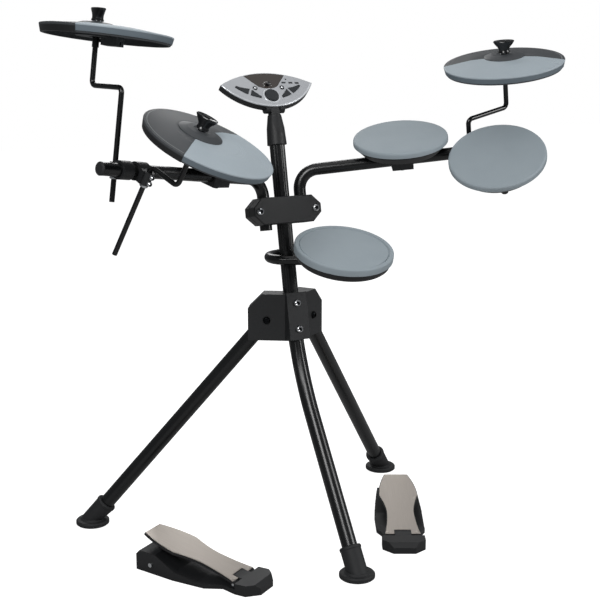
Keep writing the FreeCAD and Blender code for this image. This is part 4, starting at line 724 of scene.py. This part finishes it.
# %% [markdown]
# The mast is a ribbed tube: twelve shallow flutes run its whole length and split each
# highlight into thin upright lines. They could be cut into a new tube. Here the CAD tube
# with its bend is kept, and a cosine of the angle round the mast's own axis gives the
# flutes as a bump of 0.8 mm, under the paint's fine orange peel.

# %% Ribbed mast
FLUTES, FLUTE_HALF_DEEP = 12.0, 0.4
# The powder coat of the other tubes, over the flutes: its highlights are thin and upright.
ribbed_paint = surface("powder_coated_ribbed_tube", "#0C0D0E", "#111213", 0.27, 0.04, 1.6, 0.006)
tree = ribbed_paint.node_tree
inward = upright(hub, mast_up, X).inverted()
place = add(tree, "ShaderNodeTexCoord", {}).outputs["Object"]
local = add(tree, "ShaderNodeMapping", {"Vector": place, "Location": inward.translation,
                                        "Rotation": inward.to_euler()})
parts = add(tree, "ShaderNodeSeparateXYZ", {0: local.outputs[0]}).outputs
angle = add(tree, "ShaderNodeMath", {0: parts["Y"], 1: parts["X"]}, operation="ARCTAN2")
phase = add(tree, "ShaderNodeMath", {0: angle.outputs[0], 1: FLUTES}, operation="MULTIPLY")
wave = add(tree, "ShaderNodeMath", {0: phase.outputs[0]}, operation="COSINE")
flutes = add(tree, "ShaderNodeBump", {"Height": wave.outputs[0], "Distance": FLUTE_HALF_DEEP * MM,
                                      "Strength": 1.0})
grain = next(node for node in tree.nodes
             if node.bl_idname == "ShaderNodeBump" and node != flutes)
tree.links.new(flutes.outputs["Normal"], grain.inputs["Normal"])
nodes["mast_tube"].data.materials[0] = ribbed_paint
print("mast leans", round(math.degrees(mast_up.angle(Z)), 2), "degrees")

# %% [markdown]
# A rubber foot is a thick disc with a soft rim, and a boot that grips the tube. The boot
# leans with its leg, so it is turned on the leg's own line and ends inside the disc.
# Points that would go through the floor are lifted on to it.

# %% Rubber feet
DISC = rounded([(0.0, 0.0), (33.0, 0.0), (35.9, 2.4), (35.9, 8.6), (33.6, 11.0), (27.0, 11.4),
                (23.0, 15.0), (0.0, 15.0)], {1: 0.8, 2: 0.8, 3: 1.2, 4: 1.0, 5: 1.6})
BOOT = rounded([(0.0, -9.0), (21.5, -9.0), (21.2, 44.0), (22.2, 46.0), (22.2, 50.0), (20.6, 52.0),
                (16.0, 52.0), (16.0, 44.0), (0.0, 44.0)], {2: 0.4, 3: 0.4, 4: 0.7, 5: 0.7})
# How far the boot's own origin is above the floor, and the mast's bend below the hub.
BOOT_UP, BEND_DROP = 11.0, 95.0
REAR_ASIDE, REAR_BACK = 369.0, 510.0


def make_foot(name, body, floor_point, towards):
    seat = floor_point + Z * BOOT_UP * MM
    work = bmesh.new()
    turn_into(work, DISC, Matrix.Translation(floor_point), steps=96)
    turn_into(work, BOOT, upright(seat, towards - seat, X), steps=96)
    for vertex in work.verts:
        vertex.co.z = max(vertex.co.z, 0.0)
    made = finished(name + "_rubber", work, Matrix(), foot_rubber, body, "foot_rubber")
    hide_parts(name)


make_foot("front_foot", "stand", Vector(), hub - mast_up * BEND_DROP * MM)
for side, sign in SIDES.items():
    place = Vector((sign * REAR_ASIDE, REAR_BACK, 0.0)) * MM
    make_foot(side + "_foot", side + "_leg", place, spot(side + "_leg_fold"))
print("three feet")

# %% [markdown]
# The clamps on the arms close with small socket screws. The rod clamps carry two each
# and a chrome collar below, where the rod comes out. The pads' clamps end in a fluted
# knob below the tube. Rubber caps close the outer ends of the two arms. All are turned,
# and the flutes are a cosine that is taken off the radius.

# %% Clamp screws, knobs and end caps
def fluted(count, deep, core):
    def reshape(radius, height, angle):
        return radius - deep * (0.5 + 0.5 * math.cos(count * angle)) if radius > core else radius
    return reshape


COLLAR = rounded([(5.3, -13.1), (7.8, -13.1), (8.2, -15.0), (8.2, -17.6), (7.0, -18.6),
                  (5.3, -18.6)], {2: 0.4, 3: 0.5, 4: 0.4})
KNOB = rounded([(0.0, 0.2), (5.0, 0.2), (7.6, 1.0), (7.6, 4.6), (5.0, 5.5), (0.0, 5.5)],
               {2: 0.5, 3: 0.6})
CAP = rounded([(0.0, -10.0), (10.6, -10.0), (10.6, 0.0), (12.9, 0.0), (12.9, 1.6), (9.0, 3.4),
               (0.0, 3.8)], {4: 1.4, 5: 1.6})
# A screw's head radius and height, shank radius and length, and its place on the rod clamp.
CLAMP_SCREW, SCREW_ALONG, SCREW_OUT = (5.2, 6.0, 3.0, 4.0), 6.5, 10.0
SNARE_TUBE, ARM_TUBE, KNOB_DROP = 20.0, 25.4, 5.0
for name in CYMBALS:
    foot, up = spot(name + "_rod_swivel"), axis(name + "_rod_swivel")
    out = foot - spot(name + "_rod_tilt")
    out = (out - up * out.dot(up)).normalized()
    work = bmesh.new()
    for sign in (-1, 1):
        at = foot + up * sign * SCREW_ALONG * MM + out * SCREW_OUT * MM
        bolt_into(work, upright(at, out, up), *CLAMP_SCREW)
    turn_into(work, COLLAR, upright(foot, up, out), steps=48)
    finished(name + "_clamp_screws", work, Matrix(), chrome, name + "_rod_clamp", "chrome",
             BOLT_CREASE)
for name in PADS:
    normal = head_frames[name].col[2].to_3d()
    tube = SNARE_TUBE if name == "snare" else ARM_TUBE
    below = spot(name + "_tilt") - normal * (tube / 2 + KNOB_DROP) * MM
    turned(name + "_clamp_knob", KNOB, upright(below, -normal, X), nylon, name + "_pad",
           "stand_plastic", steps=96, reshape=fluted(12, 0.5, 6.0))
for arm, joint in (("left_arm", "crash_rod_tilt"), ("right_arm", "ride_rod_tilt")):
    along = axis(joint)
    reach = max((vertex.co - spot(joint)).dot(along) for vertex in nodes[arm].data.vertices)
    turned(arm + "_cap", CAP, upright(spot(joint) + along * reach, along, Z), foot_rubber, arm,
           "foot_rubber", steps=64)
print("screws on", len(CYMBALS), "rod clamps, knobs on", len(PADS), "pad clamps, two caps")

# %% [markdown]
# The module's dial is a shallow dished disc with a fluted edge, and a ring of lighter silver, a
# painted highlight, lies round it. The volume knob is a small fluted cap in the middle of the
# window. Both are turned about the axes of their own joints, so they run true when a hand turns
# them, and their stems end where the CAD's end.

# %% Dial and knob
def stem_end(name, place):
    return min((place.inverted() @ vertex.co).z for vertex in nodes[name].data.vertices) / MM


panel_out = axis("dial_turn")
panel_up = panel_out.cross(X)
dial_place = upright(spot("dial_turn"), panel_out, X)
knob_place = upright(spot("knob_turn"), panel_out, X)
low = stem_end("module_dial", dial_place)
DIAL = rounded([(0.0, 3.6), (8.0, 3.8), (12.0, 4.8), (13.6, 5.0), (15.0, 3.6), (15.0, low),
                (0.0, low)], {1: 1.5, 2: 0.6, 3: 0.4, 4: 0.4})
dial = turned("dial_disc", DIAL, dial_place, keypad, "dial", "dial_plastic", steps=320,
              reshape=fluted(40, 0.3, 14.0))
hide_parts("module_dial")
RING = rounded([(15.5, 0.0), (15.8, 0.9), (18.6, 0.9), (19.4, 0.0), (19.2, -0.5), (15.6, -0.5)],
               {1: 0.15, 2: 0.3})
turned("dial_ring", RING, dial_place, highlight_lip_paint, "module", "panel_silver", steps=120)
low = stem_end("module_knob", knob_place)
VOLUME = rounded([(0.0, 7.2), (2.6, 7.6), (4.0, 6.6), (4.0, low), (0.0, low)], {1: 0.4, 2: 0.4})
volume = turned("volume_knob", VOLUME, knob_place, nut_abs, "knob", "dial_plastic", steps=128,
                reshape=fluted(16, 0.25, 3.5))
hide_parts("module_knob")
print("dial, ring and knob, stems to", round(low, 1), "mm")

# %% [markdown]
# A short scale of printed ticks fans round the volume knob, as on most such panels, and
# three plain bars and a dot mark the panel's right side. They could be a picture on the
# panel, but thin plates stay sharp at any size.

# %% Panel prints
def bar(long, tall):
    x, z = long / 2, tall / 2
    corner = min(x, z) * 0.6
    return rounded([(-x, -z), (x, -z), (x, z), (-x, z)], dict.fromkeys(range(4), corner), steps=3)


# The angles of the ticks are in degrees from straight up. Ink is raised a little to show.
TICKS, FIRST_TICK, TICK_STEP, TICK_OUT = 7, 105, 35, 8.4
TICK_HALF_THICK, MARK_HALF_THICK, INK_ROUND = 0.15, 0.12, 0.05
# The panel's own origin is the lowest point of its arc, this far below the dial.
DIAL_UP = 28.0
work = bmesh.new()
for number in range(TICKS):
    turn = math.radians(FIRST_TICK - TICK_STEP * number)
    at = upright(spot("knob_turn"), panel_up, X) @ Matrix.Rotation(-turn, 4, "Y")
    flat_into(work, bar(0.9, 2.8), TICK_HALF_THICK, INK_ROUND,
              at @ Matrix.Translation((0, 0, TICK_OUT * MM)))
finished("volume_scale", work, Matrix(), white_ink, "module", "window_plastic")
panel_origin = spot("dial_turn") - panel_up * DIAL_UP * MM
panel = upright(panel_origin, panel_up, X)
mark, dot = bar(9.6, 4.6), bar(3.6, 3.6)
MARKS = ((39.5, 62.0, mark), (55.5, 61.2, mark), (70.0, 60.2, mark), (47.5, 71.0, dot))
work = bmesh.new()
for x, z, outline in MARKS:
    at = panel @ Matrix.Translation(Vector((x, 0.0, z)) * MM)
    flat_into(work, outline, MARK_HALF_THICK, INK_ROUND, at)
finished("panel_marks", work, Matrix(), dark_ink, "module", "panel_silver")
print(TICKS, "ticks and", len(MARKS), "marks")

# %% [markdown]
# The two round keys carry a small silver cap. The lower edge of the panel has a lip along its arc
# in lighter silver, a painted highlight, which is turned through a sector, because an arc is what
# a lathe makes best.

# %% Key caps and panel lip
KEY_CAP = rounded([(0.0, 0.7), (1.8, 0.6), (2.6, 0.0), (2.6, -0.4), (0.0, -0.4)],
                  {1: 0.3, 2: 0.15})
KEY_ASIDE, KEY_UP, KEY_TOP = 31.0, 49.0, 1.6
for side, sign in SIDES.items():
    at = panel_origin + X * sign * KEY_ASIDE * MM + panel_up * KEY_UP * MM
    at += panel_out * KEY_TOP * MM
    turned(side + "_key_cap", KEY_CAP, upright(at, panel_out, X), chrome, side + "_round_button",
           "chrome", steps=48)
# Half the panel's width and the depth of its arc give the arc's radius. The lip stops
# this many degrees short of the panel's tips.
PANEL_HALF, ARC_DEEP, LIP_SHORT = 106.0, 59.0, 1.5
arc = (PANEL_HALF ** 2 + ARC_DEEP ** 2) / (2 * ARC_DEEP)
sweep = math.degrees(math.asin(PANEL_HALF / arc)) - LIP_SHORT
LIP = [(arc - 4.4, -0.3), (arc - 3.8, 0.4), (arc - 2.2, 0.75), (arc - 0.9, 0.45),
       (arc - 0.4, -0.3)]
turned("panel_lip", LIP, upright(panel_origin + panel_up * arc * MM, panel_out, X), highlight_lip_paint,
       "module", "panel_silver", BEAD_CREASE, start=-90 - sweep, span=2 * sweep)
print("two key caps and a lip of radius", round(arc, 1), "mm")

# %% [markdown]
# The sleeve under the module has a dark shield on its front with a round lower edge. It
# could be cut from the sleeve, but it is made as a patch of the sleeve's own cone, lifted
# by under a millimetre and closed to a thin solid, so its edge reads as a moulded line.

# %% Neck shield
# Heights of the sleeve's waist and top, and its radii at the foot, the waist and the top.
WAIST, SLEEVE = 34.375, 62.5
FOOT_WIDE, WAIST_WIDE, TOP_WIDE = 20.5, 18.5, 14.0
# The shield's half angle, its top, and the round of its lower edge. It stops short of the
# corners, where that round would be upright.
SHIELD_TURN, SHIELD_TOP, SHIELD_SIDE, SHIELD_ROUND, SHIELD_SHARE = 42.0, 59.5, 58.0, 34.0, 0.98
SHIELD_HALF_THICK, NECK_UP = 0.6, 355.0
ROWS, COLUMNS = 18, 24


def sleeve_radius(height):
    if height < WAIST:
        return FOOT_WIDE - (FOOT_WIDE - WAIST_WIDE) * height / WAIST
    return WAIST_WIDE - (WAIST_WIDE - TOP_WIDE) * (height - WAIST) / (SLEEVE - WAIST)


work = bmesh.new()
grid = {}
for layer, lift in enumerate((SHIELD_HALF_THICK, -SHIELD_HALF_THICK)):
    for row in range(ROWS + 1):
        for column in range(COLUMNS + 1):
            aside = SHIELD_SHARE * (column / COLUMNS * 2 - 1)
            low = SHIELD_SIDE - SHIELD_ROUND * math.sqrt(1 - aside * aside)
            height = low + (SHIELD_TOP - low) * row / ROWS
            angle, radius = math.radians(SHIELD_TURN * aside), sleeve_radius(height) + lift
            grid[layer, row, column] = work.verts.new(
                Vector((radius * math.cos(angle), radius * math.sin(angle), height)) * MM)
    for row in range(ROWS):
        for column in range(COLUMNS):
            work.faces.new([grid[layer, row, column], grid[layer, row, column + 1],
                            grid[layer, row + 1, column + 1], grid[layer, row + 1, column]])
rim = [(0, column) for column in range(COLUMNS)] + [(row, COLUMNS) for row in range(ROWS)]
rim += [(ROWS - row, COLUMNS - column) for row, column in rim]
for here, there in zip(rim, rim[1:] + rim[:1]):
    work.faces.new([grid[0, *here], grid[0, *there], grid[1, *there], grid[1, *here]])
neck = upright(hub + mast_up * NECK_UP * MM, mast_up, mast_front)
finished("neck_shield", work, neck, foot_rubber, "stand", "stand_plastic")
print("neck shield of", ROWS * COLUMNS, "cells a side")

# %% [markdown]
# Each tread plate is held by small domed rivets, two at the heel and two at its widest
# point. They are the same steel as the plate, so they show only as faint rounds. A flat
# tongue of the base fills the notch in the plate's heel, clear of the moving board. It is
# a plate on its side: its outline is the slope that is seen from beside the pedal.

# %% Tread rivets and heel tongues
BOARD_RISE = math.radians(14.0)
TREAD_TOP, BOARD_TOP = 6.5, 5.3
TONGUE_END, TONGUE_HEEL, TONGUE_HALF_WIDE, TONGUE_ROUND = 12.6, -10.0, 17.2, 0.2
RIVET = [(0.0, 0.5), (1.2, 0.45), (2.1, 0.2), (2.5, 0.0), (2.5, -0.6), (0.0, -0.6)]
RIVET_PLACES = ((-31.0, 7.0), (31.0, 7.0), (-36.5, 132.0), (36.5, 132.0))


def on_slope(along, up):
    rise, run = math.sin(BOARD_RISE), math.cos(BOARD_RISE)
    return (along * run - up * rise, along * rise + up * run)


tongue = [(TONGUE_HEEL, 4.9), (-1.4, 5.2), on_slope(TONGUE_END, BOARD_TOP),
          on_slope(TONGUE_END, TREAD_TOP), (-1.6, 6.5), (TONGUE_HEEL, 6.6)]
for name in PEDALS:
    board = pedal_frame(name) @ Matrix.Rotation(BOARD_RISE, 4, "X")
    work = bmesh.new()
    for x, y in RIVET_PLACES:
        at = board @ Matrix.Translation(Vector((x, y, TREAD_TOP)) * MM)
        turn_into(work, RIVET, at, steps=32)
    finished(name + "_tread_rivets", work, Matrix(), tread_steel[name], name + "_footboard",
             "tread_steel", BEAD_CREASE)
    work = bmesh.new()
    flat_into(work, tongue, TONGUE_HALF_WIDE, TONGUE_ROUND,
              pedal_frame(name) @ Matrix.Rotation(math.pi / 2, 4, "Z"))
    finished(name + "_heel_tongue", work, Matrix(), shell_abs, "stand", "pedal_plastic")
print("eight rivets, two tongues")

# %% [markdown]
# A rubber dome under each board pushes it back up. Real rubber folds when the board comes
# down, and a rigid piece can't, so it is made as two: a cup on the base, and a plunger
# that rides on the board and slides into the cup.

# %% Return domes
DOME_ALONG = 184.0
CUP = rounded([(10.4, 9.6), (13.0, 9.6), (12.4, 24.0), (10.9, 24.0)], {1: 0.6, 2: 0.6, 3: 0.5})
PLUNGER = rounded([(0.0, 23.6), (6.5, 23.6), (6.5, 44.2), (0.0, 44.2)], {1: 1.5, 2: 0.5})
work = bmesh.new()
for name in PEDALS:
    seat = pedal_frame(name) @ Matrix.Translation((0, DOME_ALONG * MM, 0))
    turn_into(work, CUP, seat, steps=64)
    turned(name + "_dome_plunger", PLUNGER, seat, foot_rubber, name + "_footboard", "foot_rubber",
           steps=48)
cups = finished("return_dome_cups", work, Matrix(), foot_rubber, "stand", "foot_rubber")
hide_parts("pedal_return_domes")
print("two cups and two plungers")

# %% [markdown]
# Last, the script lists the CAD nodes that are still shown but were given no finish.

# %% Nodes with no finish
bare = [name for name, made in nodes.items() if not made.hide_render and name not in kept]
print("nodes with no finish:", bare)
